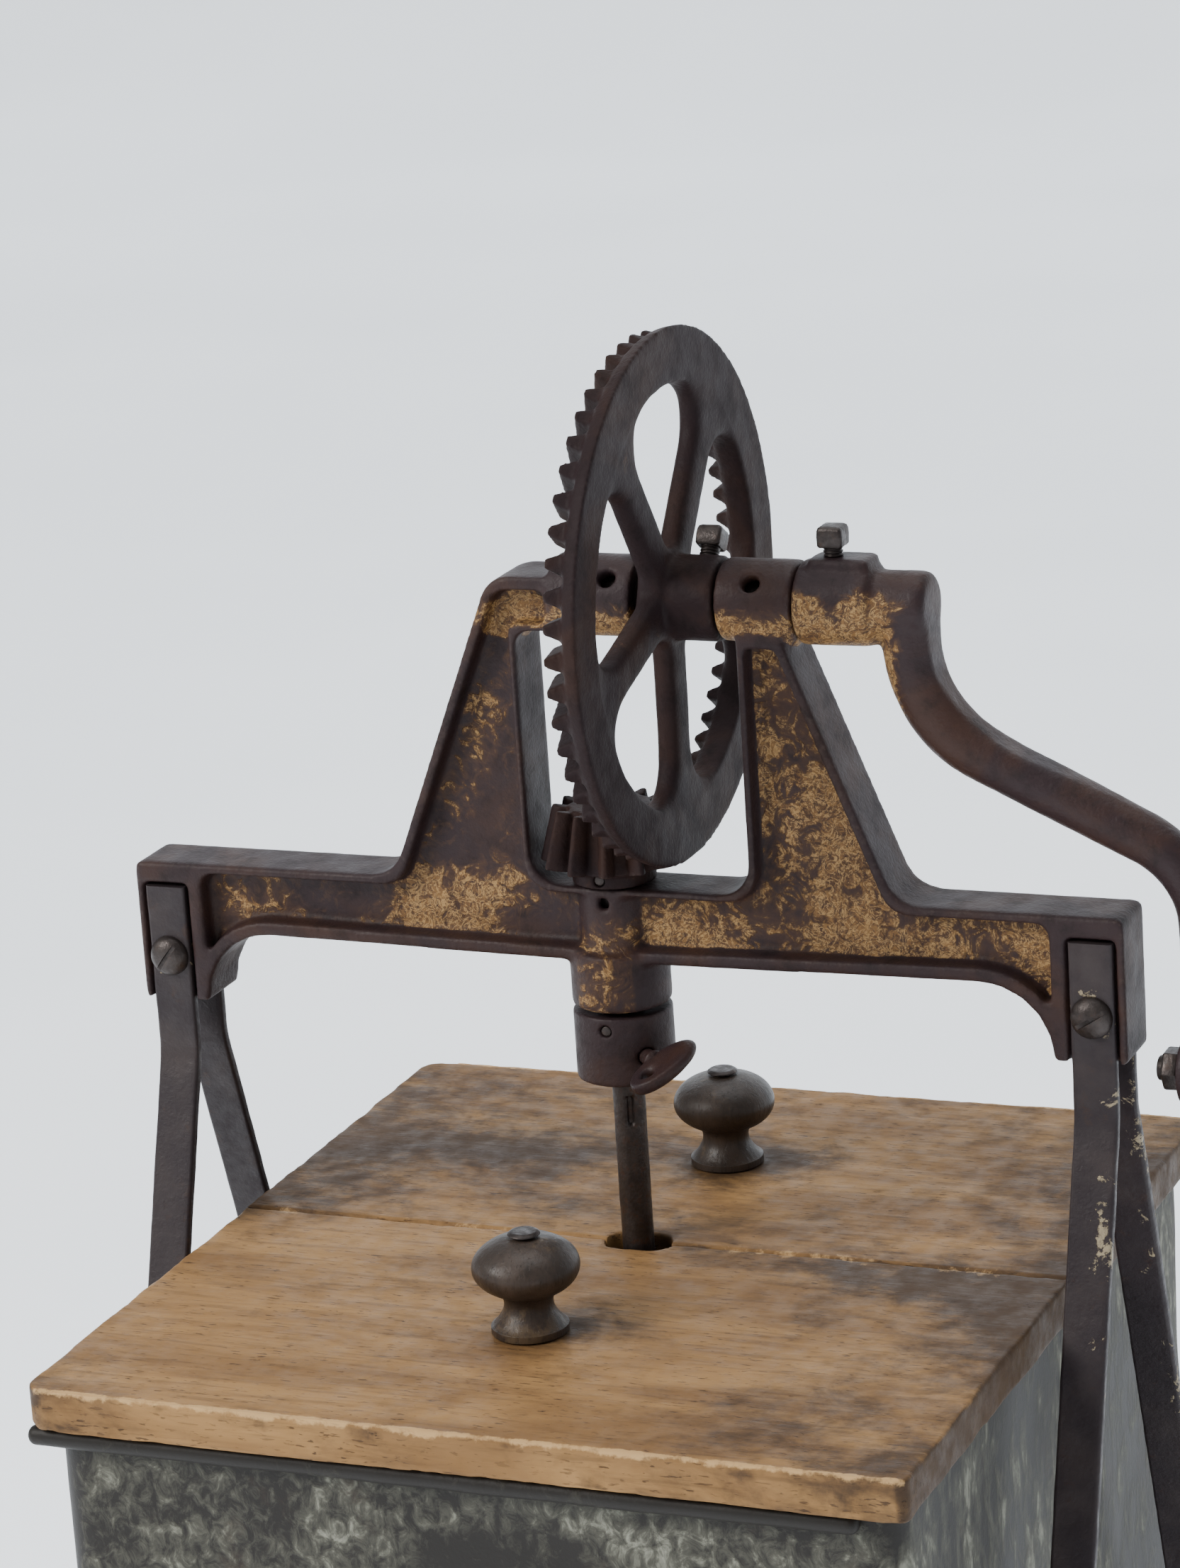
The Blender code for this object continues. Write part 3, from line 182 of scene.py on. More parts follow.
def carried(path, section, ups, scale=None):
    # Each point of the path carries the section (u, v): path + u side + v up, where side = up x tangent.
    # Both ends are capped.
    path = np.asarray(path, float)
    ahead = np.gradient(path, axis=0)
    ahead /= np.linalg.norm(ahead, axis=1)[:, None]
    up = np.broadcast_to(np.asarray(ups, float), path.shape)
    side = np.cross(up, ahead)
    side /= np.linalg.norm(side, axis=1)[:, None]
    up = np.cross(ahead, side)
    size = np.ones(len(path)) if scale is None else np.asarray(scale)
    section = np.asarray(section, float)[None] * size[:, None, None]
    grid = path[:, None] + section[..., :1] * side[:, None] + section[..., 1:] * up[:, None]
    first = np.repeat(grid[:1].mean(1, keepdims=True), grid.shape[1], 1)
    last = np.repeat(grid[-1:].mean(1, keepdims=True), grid.shape[1], 1)
    return gridSurface(np.concatenate([first, grid, last]))


def stacked(outline, levels, centre, axis="Z"):
    # The closed outline (u, v) stands at each (height, scale) of levels, and both ends close to a point.
    levels = np.array([(levels[0][0], 0)] + list(levels) + [(levels[-1][0], 0)], float)
    u = levels[:, 1:] * outline[:, 0]
    v = levels[:, 1:] * outline[:, 1]
    along = np.broadcast_to(levels[:, :1], u.shape)
    order = {"X": (along, u, v), "Y": (v, along, u), "Z": (u, v, along)}[axis]
    return gridSurface(np.stack(order, -1) + np.asarray(centre))


def slab(plan, low, high, ease, rows=5):
    # A board over a grid of plan points (columns, rows, 2). Near its outline the faces drop as a quarter
    # circle: drop = ease - sqrt(ease^2 - (ease - d)^2), d the distance to the outline.
    wide, deep = plan.shape[:2]
    index = np.arange(wide * deep).reshape(wide, deep)
    loop = np.concatenate([index[:-1, 0], index[-1, :-1], index[:0:-1, -1], index[0, :0:-1]])
    flat, quads = gridSurface(plan)
    distance = np.full(len(flat), 1e9)
    for start in range(0, len(loop), 64):
        part = flat[loop[start:start + 64]]
        gap = np.linalg.norm(flat[:, None] - part[None], axis=-1).min(1)
        distance = np.minimum(distance, gap)
    drop = fallen(ease, distance)
    top = np.column_stack([flat, high - drop])
    bottom = np.column_stack([flat, low + drop])
    share = np.linspace(0, 1, rows + 2)[1:-1, None, None]
    wall = (top[loop] * (1 - share) + bottom[loop] * share).reshape(-1, 3)
    size, ring = len(flat), len(loop)
    levels = [loop] + [2 * size + ring * k + np.arange(ring) for k in range(rows)] + [loop + size]
    levels = np.array(levels)
    after = np.roll(levels, -1, axis=1)
    sides = np.stack([levels[:-1], levels[1:], after[1:], after[:-1]], -1).reshape(-1, 4)
    points = np.concatenate([top, bottom, wall])
    distance = np.concatenate([distance, distance, np.zeros(len(wall))])
    return points, np.concatenate([quads, quads[:, ::-1] + size, sides[:, ::-1]]), distance


def bar(node, ease, stepX, stepY):
    # A plain board that fills its node's box, with eased edges.
    low, high = span(node)
    xs = low[0] + spaced(high[0] - low[0], ease, stepX)
    ys = low[1] + spaced(high[1] - low[1], ease, stepY)
    return np.stack(np.meshgrid(xs, ys, indexing="ij"), -1), low[2], high[2]


def together(*shapes):
    points, faces, count = [], [], 0
    for shapePoints, shapeFaces in shapes:
        points.append(shapePoints)
        faces.append(shapeFaces + count)
        count += len(shapePoints)
    return np.concatenate(points), np.concatenate(faces)


def bumpedIn(shape, depth, size, seed):
    # The surface sinks by up to depth, more or less from place to place.
    points, faces = shape
    normal = vertexNormals(points, faces)
    sink = depth * sunk(wobble(points, size, seed))
    return points - normal * sink[:, None], faces


# ---------- meshes and pieces ----------

sharpAngle = 50
mergeWithin = 2e-7

def meshOf(name, shape, values=None, merge=True):
    points, faces = shape
    mesh = bpy.data.meshes.new(name)
    mesh.vertices.add(len(points))
    mesh.vertices.foreach_set("co", np.asarray(points, np.float32).ravel())
    mesh.loops.add(faces.size)
    mesh.loops.foreach_set("vertex_index", faces.astype(np.int32).ravel())
    mesh.polygons.add(len(faces))
    mesh.polygons.foreach_set("loop_start", np.arange(len(faces), dtype=np.int32) * faces.shape[1])
    mesh.update(calc_edges=True)
    for label, column in (values or {}).items():
        mesh.attributes.new(label, "FLOAT", "POINT").data.foreach_set("value", column.astype(np.float32))
    if merge:
        work = bmesh.new()
        work.from_mesh(mesh)
        bmesh.ops.remove_doubles(work, verts=work.verts, dist=mergeWithin)
        bmesh.ops.recalc_face_normals(work, faces=work.faces)
        work.to_mesh(mesh)
        work.free()
    return mesh


def piece(node, ending, shape, body, finish, values=None, cast=False):
    # The piece that takes the node's place. A cast skin is already one closed sheet, smooth all over.
    mesh = meshOf(node + ending, shape, values, not cast)
    mesh.shade_smooth()
    if not cast:
        mesh.set_sharp_from_angle(angle=math.radians(sharpAngle))
    slotName, material = finish
    mesh.materials.append(material)
    made = bpy.data.objects.new(node + ending, mesh)
    bpy.context.scene.collection.objects.link(made)
    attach(made, body)
    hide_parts(node)


def vertexNormals(points, faces):
    one, two = points[faces[:, 2]] - points[faces[:, 0]], points[faces[:, 3]] - points[faces[:, 1]]
    across = np.cross(one, two)
    total = np.stack([
        sum(np.bincount(faces[:, k], across[:, axis], len(points)) for k in range(4)) for axis in range(3)
    ], 1)
    return total / np.maximum(np.linalg.norm(total, axis=1), 1e-20)[:, None]


def neighbours(faces):
    return np.concatenate([faces[:, [k, (k + 1) % 4]] for k in range(4)])


def relaxed(points, edges, rounds, strength=0.5):
    # Each point moves towards the mean of its neighbours, rounds times.
    count = np.bincount(edges.ravel(), minlength=len(points))
    strength = np.broadcast_to(strength, len(points))[:, None]
    for _ in range(rounds):
        total = np.stack([
            np.bincount(edges[:, 0], points[edges[:, 1], axis], len(points))
            + np.bincount(edges[:, 1], points[edges[:, 0], axis], len(points)) for axis in range(3)
        ], 1)
        points = points + strength * (total / count[:, None] - points)
    return points


def nodeMesh(node):
    # A copy of a CAD node's mesh, with its loose triangles merged.
    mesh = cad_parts[node].data.copy()
    work = bmesh.new()
    work.from_mesh(mesh)
    bmesh.ops.remove_doubles(work, verts=work.verts, dist=1e-6)
    work.to_mesh(mesh)
    work.free()
    return mesh


def recast(name, mesh, voxel):
    # The closed mesh again as an even skin of quads, voxel metres wide.
    holder = bpy.data.objects.new(name + "_work", mesh)
    bpy.context.scene.collection.objects.link(holder)
    remesh = holder.modifiers.new("even", "REMESH")
    remesh.mode = "VOXEL"
    remesh.voxel_size = voxel
    bpy.context.view_layer.update()
    even = bpy.data.meshes.new_from_object(holder.evaluated_get(bpy.context.evaluated_depsgraph_get()))
    bpy.data.objects.remove(holder)
    points = np.empty(len(even.vertices) * 3)
    even.vertices.foreach_get("co", points)
    faces = np.empty(len(even.loops), np.int32)
    even.loops.foreach_get("vertex_index", faces)
    return points.reshape(-1, 3), faces.reshape(-1, 4)


def castSurface(name, mesh, voxel, rounds, extra=None, grit=0.00012, seed=3):
    # A cast skin: the solid is made again from small voxels, relaxed until its edges are round, then
    # roughened. The value "ridge" is how far a point stands out from the surface relaxed further.
    points, faces = recast(name, mesh, voxel)
    edges = neighbours(faces)
    points = relaxed(points, edges, rounds)
    if extra is not None:
        more, weight = extra
        points = relaxed(points, edges, more, 0.5 * weight(points))
    normal = vertexNormals(points, faces)
    rough = 0.6 * wobble(points, 0.009, seed) + 0.4 * wobble(points, 0.0035, seed + 1)
    points = points - normal * (grit * sunk(rough))[:, None]
    broad = relaxed(points, edges, 14)
    ridge = ((points - broad) * normal).sum(1) / voxel
    return points, faces, normal, ridge


# ---------- material nodes ----------

def tint(red, green, blue):
    # A colour given from 0 to 255, as the shader wants it.
    share = np.array([red, green, blue]) / 255
    linear = np.where(share <= 0.04045, share / 12.92, ((share + 0.055) / 1.055) ** 2.4)
    return (*linear, 1.0)


class Finish:
    # A material under construction, with short ways to add its nodes.
    def __init__(self, name):
        self.material = bpy.data.materials.new(name)
        self.material.use_nodes = True
        self.tree = self.material.node_tree
        self.shader = self.tree.nodes["Principled BSDF"]
        self.place = self.add("ShaderNodeTexCoord").outputs["Object"]

    def add(self, kind, inputs=None, **settings):
        made = self.tree.nodes.new(kind)
        for key, value in settings.items():
            setattr(made, key, value)
        for key, value in (inputs or {}).items():
            self.plug(made.inputs[key], value)
        return made

    def plug(self, socket, value):
        if isinstance(value, bpy.types.NodeSocket):
            self.tree.links.new(value, socket)
        else:
            socket.default_value = value

    def value(self, label):
        return self.add("ShaderNodeAttribute", attribute_name=label).outputs["Fac"]

    def mapped(self, scale):
        return self.add("ShaderNodeMapping", {"Vector": self.place, "Scale": scale}).outputs[0]

    def noise(self, size, detail=4, rough=0.55, twist=0, place=None):
        # Cloudy noise whose blotches are about size metres across.
        inputs = {"Vector": place or self.place, "Scale": 1 / size, "Detail": detail, "Roughness": rough,
                  "Distortion": twist}
        return self.add("ShaderNodeTexNoise", inputs).outputs["Fac"]

    def band(self, value, low, high, start=0.0, end=1.0):
        inputs = {"Value": value, "From Min": low, "From Max": high, "To Min": start, "To Max": end}
        return self.add("ShaderNodeMapRange", inputs, interpolation_type="SMOOTHSTEP").outputs[0]

    def maths(self, operation, one, two=0.0):
        return self.add("ShaderNodeMath", {0: one, 1: two}, operation=operation).outputs[0]

    def times(self, one, two):
        return self.maths("MULTIPLY", one, two)

    def plus(self, one, two):
        return self.maths("ADD", one, two)

    def minus(self, one, two):
        return self.maths("SUBTRACT", one, two)

    def blend(self, share, one, two):
        made = self.add("ShaderNodeMix", data_type="RGBA")
        self.plug(made.inputs[0], share)
        self.plug(made.inputs[6], one)
        self.plug(made.inputs[7], two)
        return made.outputs[2]

    def relief(self, height, distance, strength=1.0, under=None):
        inputs = {"Height": height, "Distance": distance, "Strength": strength}
        if under is not None:
            inputs["Normal"] = under
        return self.add("ShaderNodeBump", inputs).outputs[0]

    def done(self, colour=None, roughness=None, normal=None, **fixed):
        for socket, value in (("Base Color", colour), ("Roughness", roughness), ("Normal", normal)):
            if value is not None:
                self.plug(self.shader.inputs[socket], value)
        for key, value in fixed.items():
            self.shader.inputs[key].default_value = value
        return self.material


ironLook = {
    "coat": tint(48, 36, 38), "rust": tint(62, 43, 37), "shade": tint(22, 17, 17), "bare": tint(84, 72, 66),
    "gilt": tint(132, 98, 60), "giltPale": tint(180, 145, 96), "giltDark": tint(80, 57, 42),
}


def makeIron(name, gilt=1.0, sheen=0.42, lift=1.0, deep=0.0):
    # Dark japanned iron with rusty clouds, bare metal on its ridges and curly flakes of gold paint where
    # the value "gilt" says; its hollows, and by deep all of it, are darkened as painted shade.
    look = ironLook
    make = Finish(name)
    clouds = make.noise(0.045, 5, 0.6, 0.6)
    fine = make.noise(0.0022, 4, 0.65)
    colour = make.blend(make.band(clouds, 0.42, 0.68), look["coat"], look["rust"])
    colour = make.blend(make.band(make.noise(0.012, 5, 0.7), 0.5, 0.75, 0, 0.6), colour, look["shade"])
    # deep blends the whole colour towards the shade colour: painted shade.
    colour = make.blend(deep, colour, look["shade"])
    ridge = make.value("ridge")
    wear_and_highlight = make.band(make.plus(ridge, make.band(fine, 0.3, 0.7, -0.2, 0.2)), 0.45, 1.1, 0, 0.6 * lift)
    colour = make.blend(wear_and_highlight, colour, look["bare"])
    # Hollows are darkened towards the shade colour: painted shade together with grime.
    grime_and_shade = make.band(ridge, -0.25, -0.9, 0, 0.7)
    colour = make.blend(grime_and_shade, colour, look["shade"])
    curls = make.noise(0.0075, 4, 0.55, 1.9)
    patches = make.noise(0.026, 5, 0.65, 1.0)
    amount = make.times(make.value("gilt"), gilt)
    level = make.plus(make.times(curls, 0.45), make.times(patches, 0.55))
    reach = make.minus(0.72, make.times(amount, 0.34))
    flake = make.band(make.minus(level, reach), -0.03, 0.04)
    flake = make.times(flake, make.band(amount, 0.02, 0.2))
    film = make.times(make.band(make.minus(level, reach), -0.12, 0.0), make.band(amount, 0.02, 0.3))
    colour = make.blend(make.times(film, 0.6), colour, look["giltDark"])
    strands = make.noise(0.0055, 4, 0.6, 2.6)
    strand = make.band(make.maths("ABSOLUTE", make.minus(strands, 0.5)), 0.055, 0.012)
    cracks = make.noise(0.0065, 4, 0.6, 2.2)
    crack = make.band(make.maths("ABSOLUTE", make.minus(cracks, 0.52)), 0.03, 0.006)
    gold = make.blend(make.band(make.noise(0.0048, 5, 0.7, 1.5), 0.36, 0.62), look["giltDark"],
                      look["gilt"])
    gold = make.blend(make.times(strand, 0.75), gold, look["giltPale"])
    gold = make.blend(make.times(crack, 0.7), gold, look["coat"])
    colour = make.blend(flake, colour, gold)
    gloss = make.band(make.noise(0.012, 4, 0.6), 0.3, 0.75, sheen - 0.04, sheen + 0.1)
    gloss = make.plus(gloss, make.times(flake, 0.06))
    low = make.relief(make.noise(0.0016, 4, 0.6), 0.0006, 0.5)
    normal = make.relief(flake, 0.00035, 0.8, low)
    return make.done(colour, gloss, normal, **{"Metallic": 0.0, "Specular IOR Level": 0.22 - 0.3 * deep})


strapLook = {"coat": tint(44, 37, 40), "dull": tint(58, 50, 50), "rust": tint(62, 45, 38),
             "chip": tint(160, 146, 120)}


def makeStrap(name, chips=0.0):
    # Painted bar iron: a dark coat with duller clouds, rust at the edges and pale chips.
    look = strapLook
    make = Finish(name)
    colour = make.blend(make.band(make.noise(0.03, 5, 0.6), 0.4, 0.7), look["coat"], look["dull"])
    colour = make.blend(make.band(make.noise(0.009, 5, 0.7), 0.56, 0.74, 0, 0.7), colour, look["rust"])
    spread = make.plus(make.times(make.noise(0.016, 5, 0.7, 0.6), 0.65),
                        make.times(make.noise(0.005, 5, 0.7, 1.2), 0.35))
    reach = make.minus(0.78, make.times(make.value("chips"), 0.26))
    flake = make.band(make.minus(spread, reach), 0.0, 0.035)
    flake = make.times(flake, make.band(make.noise(0.003, 4, 0.7), 0.3, 0.55, 0.45, 1.0))
    colour = make.blend(flake, colour, look["chip"])
    gloss = make.band(make.noise(0.005, 5, 0.6), 0.3, 0.7, 0.38, 0.6)
    low = make.relief(make.noise(0.0018, 4, 0.6), 0.0005, 0.5)
    normal = make.relief(flake, 0.0003, 0.7, low)
    return make.done(colour, gloss, normal, **{"Specular IOR Level": 0.28})


steelLook = {"metal": tint(52, 45, 43), "shine": tint(82, 76, 73), "rust": tint(72, 48, 36)}


def makeSteel(name, shine=0.4, rust=0.5):
    look = steelLook
    make = Finish(name)
    colour = make.blend(make.band(make.noise(0.008, 5, 0.65), 0.35, 0.7, 0, shine), look["metal"],
                        look["shine"])
    colour = make.blend(make.band(make.noise(0.004, 5, 0.7), 0.5, 0.72, 0, rust), colour, look["rust"])
    gloss = make.band(make.noise(0.003, 4, 0.6), 0.3, 0.7, 0.3, 0.55)
    normal = make.relief(make.noise(0.0014, 4, 0.6), 0.0004, 0.5)
    return make.done(colour, gloss, normal, Metallic=0.6)


sheetLook = {"dark": tint(34, 31, 28), "zinc": tint(80, 79, 70), "pale": tint(142, 142, 128),
             "rust": tint(52, 40, 33)}


def makeSheet(name):
    # Old galvanised sheet: pale curly zinc flakes in drifts over a dark ground; the side walls are streaked
    # downwards, because the flakes there are stretched along Z by the value "streak".
    look = sheetLook
    make = Finish(name)
    drift = make.noise(0.075, 7, 0.7, 0.4)
    flecks = make.noise(0.0062, 5, 0.68, 0.7, make.mapped((1.0, 1.0, 0.8)))
    lines = make.noise(0.0065, 5, 0.62, 0.4, make.mapped((1.0, 1.0, 0.42)))
    streak = make.value("streak")
    flakes = make.plus(make.times(flecks, make.minus(1.0, streak)),
                        make.times(lines, streak))
    level = make.plus(make.times(flakes, 0.5), make.times(drift, 0.5))
    level = make.minus(level, make.times(make.value("grime_and_shade"), 0.1))
    body = make.band(level, 0.42, 0.56)
    colour = make.blend(body, look["dark"], look["zinc"])
    colour = make.blend(make.band(level, 0.52, 0.64), colour, look["pale"])
    colour = make.blend(make.band(make.noise(0.02, 5, 0.7), 0.55, 0.75, 0, 0.6), colour, look["rust"])
    # This darkening carries grime and painted shade: under the lid, on the right wall and inside the tank.
    colour = make.blend(make.times(make.value("grime_and_shade"), 0.66), colour, look["dark"])
    gloss = make.band(level, 0.4, 0.6, 0.5, 0.68)
    low = make.relief(make.noise(0.0015, 4, 0.6), 0.0003, 0.4)
    normal = make.relief(body, 0.0003, 0.5, low)
    return make.done(colour, gloss, normal, **{"Specular IOR Level": 0.25})


woodLook = {
    "lid": {"pale": tint(166, 128, 82), "mid": tint(132, 99, 63), "dark": tint(66, 48, 34),
            "stain_and_shade": tint(58, 45, 36), "wear_and_highlight": tint(206, 168, 118)},
    "grip": {"pale": tint(168, 136, 98), "mid": tint(138, 106, 72), "dark": tint(92, 68, 46),
             "stain_and_shade": tint(58, 44, 36), "wear_and_highlight": tint(190, 160, 120)},
    "plain": {"pale": tint(176, 146, 104), "mid": tint(148, 116, 78), "dark": tint(106, 80, 54),
              "stain_and_shade": tint(80, 64, 50), "wear_and_highlight": tint(190, 162, 122)},
    "knob": {"pale": tint(70, 58, 50), "mid": tint(54, 45, 39), "dark": tint(36, 30, 27),
             "stain_and_shade": tint(28, 24, 23), "wear_and_highlight": tint(92, 76, 58)},
}


def makeWood(name, look, along="X", gloss=(0.42, 0.68), flecks=1.0, size=1.0, shine=0.14):
    # Grain runs along one axis: noise stretched that way, fine pores, and short dark flecks.
    look = woodLook[look]
    make = Finish(name)

    def stretch(long, fine):
        scale = [fine, fine, fine]
        scale["XYZ".index(along)] = long
        return make.mapped(tuple(scale))

    broad = make.noise(0.03 * size, 5, 0.6, 0.8, stretch(0.3, 1.0))
    streaks = make.noise(0.0035 * size, 5, 0.6, 0.4, stretch(0.08, 1.0))
    pores = make.noise(0.0012, 3, 0.55, 0.3, stretch(0.2, 1.0))
    crowd = make.band(make.noise(0.024, 4, 0.6), 0.35, 0.65, 0.35, 1.0)
    colour = make.blend(make.band(broad, 0.34, 0.66), look["mid"], look["pale"])
    colour = make.blend(make.band(streaks, 0.48, 0.7, 0, 0.35), colour, look["dark"])
    fleck = make.band(pores, 0.6, 0.67, 0, 0.85 * flecks)
    fleck = make.times(fleck, crowd)
    colour = make.blend(fleck, colour, look["dark"])
    smudge = make.noise(0.02, 5, 0.65, 0.5)
    mottle = make.band(make.noise(0.0055, 5, 0.7, 0.3, stretch(0.5, 1.0)), 0.3, 0.7, -0.12, 0.14)
    stain_and_shade = make.plus(make.value("stain_and_shade"), make.band(smudge, 0.3, 0.75, -0.18, 0.26))
    stain_and_shade = make.plus(stain_and_shade, mottle)
    # This dark blend carries stains and, at the lid's right end, painted shade.
    colour = make.blend(make.band(stain_and_shade, 0.02, 0.95, 0, 0.9), colour, look["stain_and_shade"])
    wear_and_highlight = make.plus(make.value("wear_and_highlight"), make.band(make.noise(0.006, 5, 0.7), 0.3, 0.7, -0.35, 0.35))
    # This pale blend carries wear and, on the lid's outer edges, a painted highlight.
    colour = make.blend(make.band(wear_and_highlight, 0.4, 0.95, 0, 0.85), colour, look["wear_and_highlight"])
    rough = make.band(make.noise(0.01, 4, 0.6), 0.3, 0.7, *gloss)
    low = make.relief(streaks, 0.0007, 0.35)
    normal = make.relief(fleck, -0.0004, 0.6, low)
    return make.done(colour, rough, normal, **{"Specular IOR Level": shine})


# Each finish pairs a slot's name with a material.
print("finishes")
ironFrame = "dark_cast_iron", makeIron("worn_gilt_iron", 1.0, 0.5)
# The wheel's iron is a darker copy of the frame's iron: painted shade; the pinion and the pivot cup share it.
ironWheelShaded = "dark_cast_iron", makeIron("shaded_wheel_iron", 0.7, 0.56, 0.6, 0.4)
ironArm = "dark_cast_iron", makeIron("crank_iron", 1.0, 0.46, 0.7)
thumbIron = "dark_fastener_steel", makeIron("thumb_iron", 0.0, 0.4, 0.9)
strapIron = "painted_strap", makeStrap("painted_strap_iron")
fastenerSteel = "dark_fastener_steel", makeSteel("fastener_steel", 0.5, 0.4)
rodSteel = "worn_rod_steel", makeSteel("rusty_rod_steel", 0.5, 0.8)
tankSheet = "galvanised_sheet", makeSheet("mottled_galvanised_sheet")
lidWood = "stained_lid_board", makeWood("lid_board_wood", "lid")
cleatWood = "stained_lid_board", makeWood("cleat_wood", "plain", "Y")
knobWood = "dark_turned_wood", makeWood("dark_knob_wood", "knob", "Z", (0.34, 0.5), 0.6, 0.6, 0.35)
gripWood = "dark_turned_wood", makeWood("grip_wood", "grip", "X", (0.4, 0.6), 0.8, 0.6)
hubWood = "plain_dasher_wood", makeWood("dasher_hub_wood", "plain", "Z")
bladeWoodX = "plain_dasher_wood", makeWood("dasher_board_wood_x", "plain", "X")
bladeWoodY = "plain_dasher_wood", makeWood("dasher_board_wood_y", "plain", "Y")


# ---------- gear frame ----------

def castPiece(node, body, finish, gild, solid=None, ridgeScale=1.0, **form):
    # The node's solid, or the one that is given, as a cast skin; gild gives its share of gold paint.
    points, faces, normal, ridge = castSurface(node, solid or nodeMesh(node), **form)
    values = {"gilt": gild(points, normal), "ridge": ridge * ridgeScale}
    piece(node, "_casting", (points, faces), body, finish, values, True)
    print(node, len(faces))


def gildFrame(points, normal):
    # The paint is left on the sunk webs, thick on the right and thin on the left, and under the bosses.
    across = points[:, 0] - spindleX
    deep = np.abs(points[:, 1] - spindleY)
    half = span("frame_nut_left")[0][1] - spindleY
    web = eased(deep, half - 0.004, half - 0.006) * eased(np.abs(normal[:, 1]), 0.45, 0.8)
    cover = 0.26 + 0.44 * eased(across, -0.01, 0.03) + 0.24 * wobble(points, 0.05, 21)
    slope = frameLow[0] + 0.125 + (points[:, 2] - shaftZ + 0.095) * 0.4
    cover = cover + 0.45 * eased(np.abs(points[:, 0] - slope), 0.016, 0.002) * (across < 0)
    rail = eased(points[:, 2], shaftZ - 0.100, shaftZ - 0.112)
    cover = cover + 0.25 * rail * (across < 0)
    boss = eased(np.hypot(points[:, 1] - shaftY, points[:, 2] - shaftZ), 0.017, 0.0155)
    boss = boss * eased(points[:, 2], shaftZ + 0.004, shaftZ - 0.006)
    column = eased(np.abs(across), 0.0125, 0.0105) * rail
    column = column * eased(points[:, 2], shaftZ - 0.112, shaftZ - 0.125)
    return np.clip(web * cover + 0.85 * boss + 0.5 * column * (1 - web), 0, 1)


castPiece("gear_frame", "base", ironFrame, gildFrame, voxel=0.00115, rounds=5)

# ---------- drive wheel and pinion ----------

wheelLook = {"hubRadius": 0.0165, "rimInner": 0.0775, "spokeRounds": 44}


def spokeShare(points):
    distance = np.hypot(points[:, 1] - shaftY, points[:, 2] - shaftZ)
    inner, outer = wheelLook["hubRadius"], wheelLook["rimInner"]
    return eased(distance, inner, inner + 0.004) * eased(distance, outer, outer - 0.004)


def gildWheel(points, normal):
    # Flecks, mostly on the spokes.
    flecks = eased(wobble(points, 0.022, 33), 0.45, 0.9) * 0.5
    return flecks * (0.3 + 0.7 * spokeShare(points))


def gildPinion(points, normal):
    return eased(wobble(points, 0.015, 43), 0.5, 0.9) * 0.3


def gildNothing(points, normal):
    return np.zeros(len(points))


castPiece("drive_wheel", "crank", ironWheelShaded, gildWheel, voxel=0.00095, rounds=4, seed=31,
          extra=(wheelLook["spokeRounds"], spokeShare))
castPiece("bevel_pinion", "dasher", ironWheelShaded, gildPinion, ridgeScale=1.2, voxel=0.00058, rounds=4,
          grit=0.0001, seed=41)
castPiece("coupling_collar", "dasher", ironFrame, gildNothing, voxel=0.0007, rounds=6, seed=51)

# ---------- crank arm ----------

armLook = {
    "rootFromHub": 0.0372, "drop": 0.040, "rise": 0.0505, "bendTop": 0.045, "bendLow": 0.036,
    "rootRadius": 0.0115, "armRadius": 0.0090, "hubRadius": 0.0153, "shoulder": 0.0124,
    "shoulderEdge": 0.0035, "hubLength": 0.027, "padHalf": 0.008, "padRise": 0.0018, "eyeRadius": 0.013,
    "eyeLength": 0.019, "flat": 0.74,
}


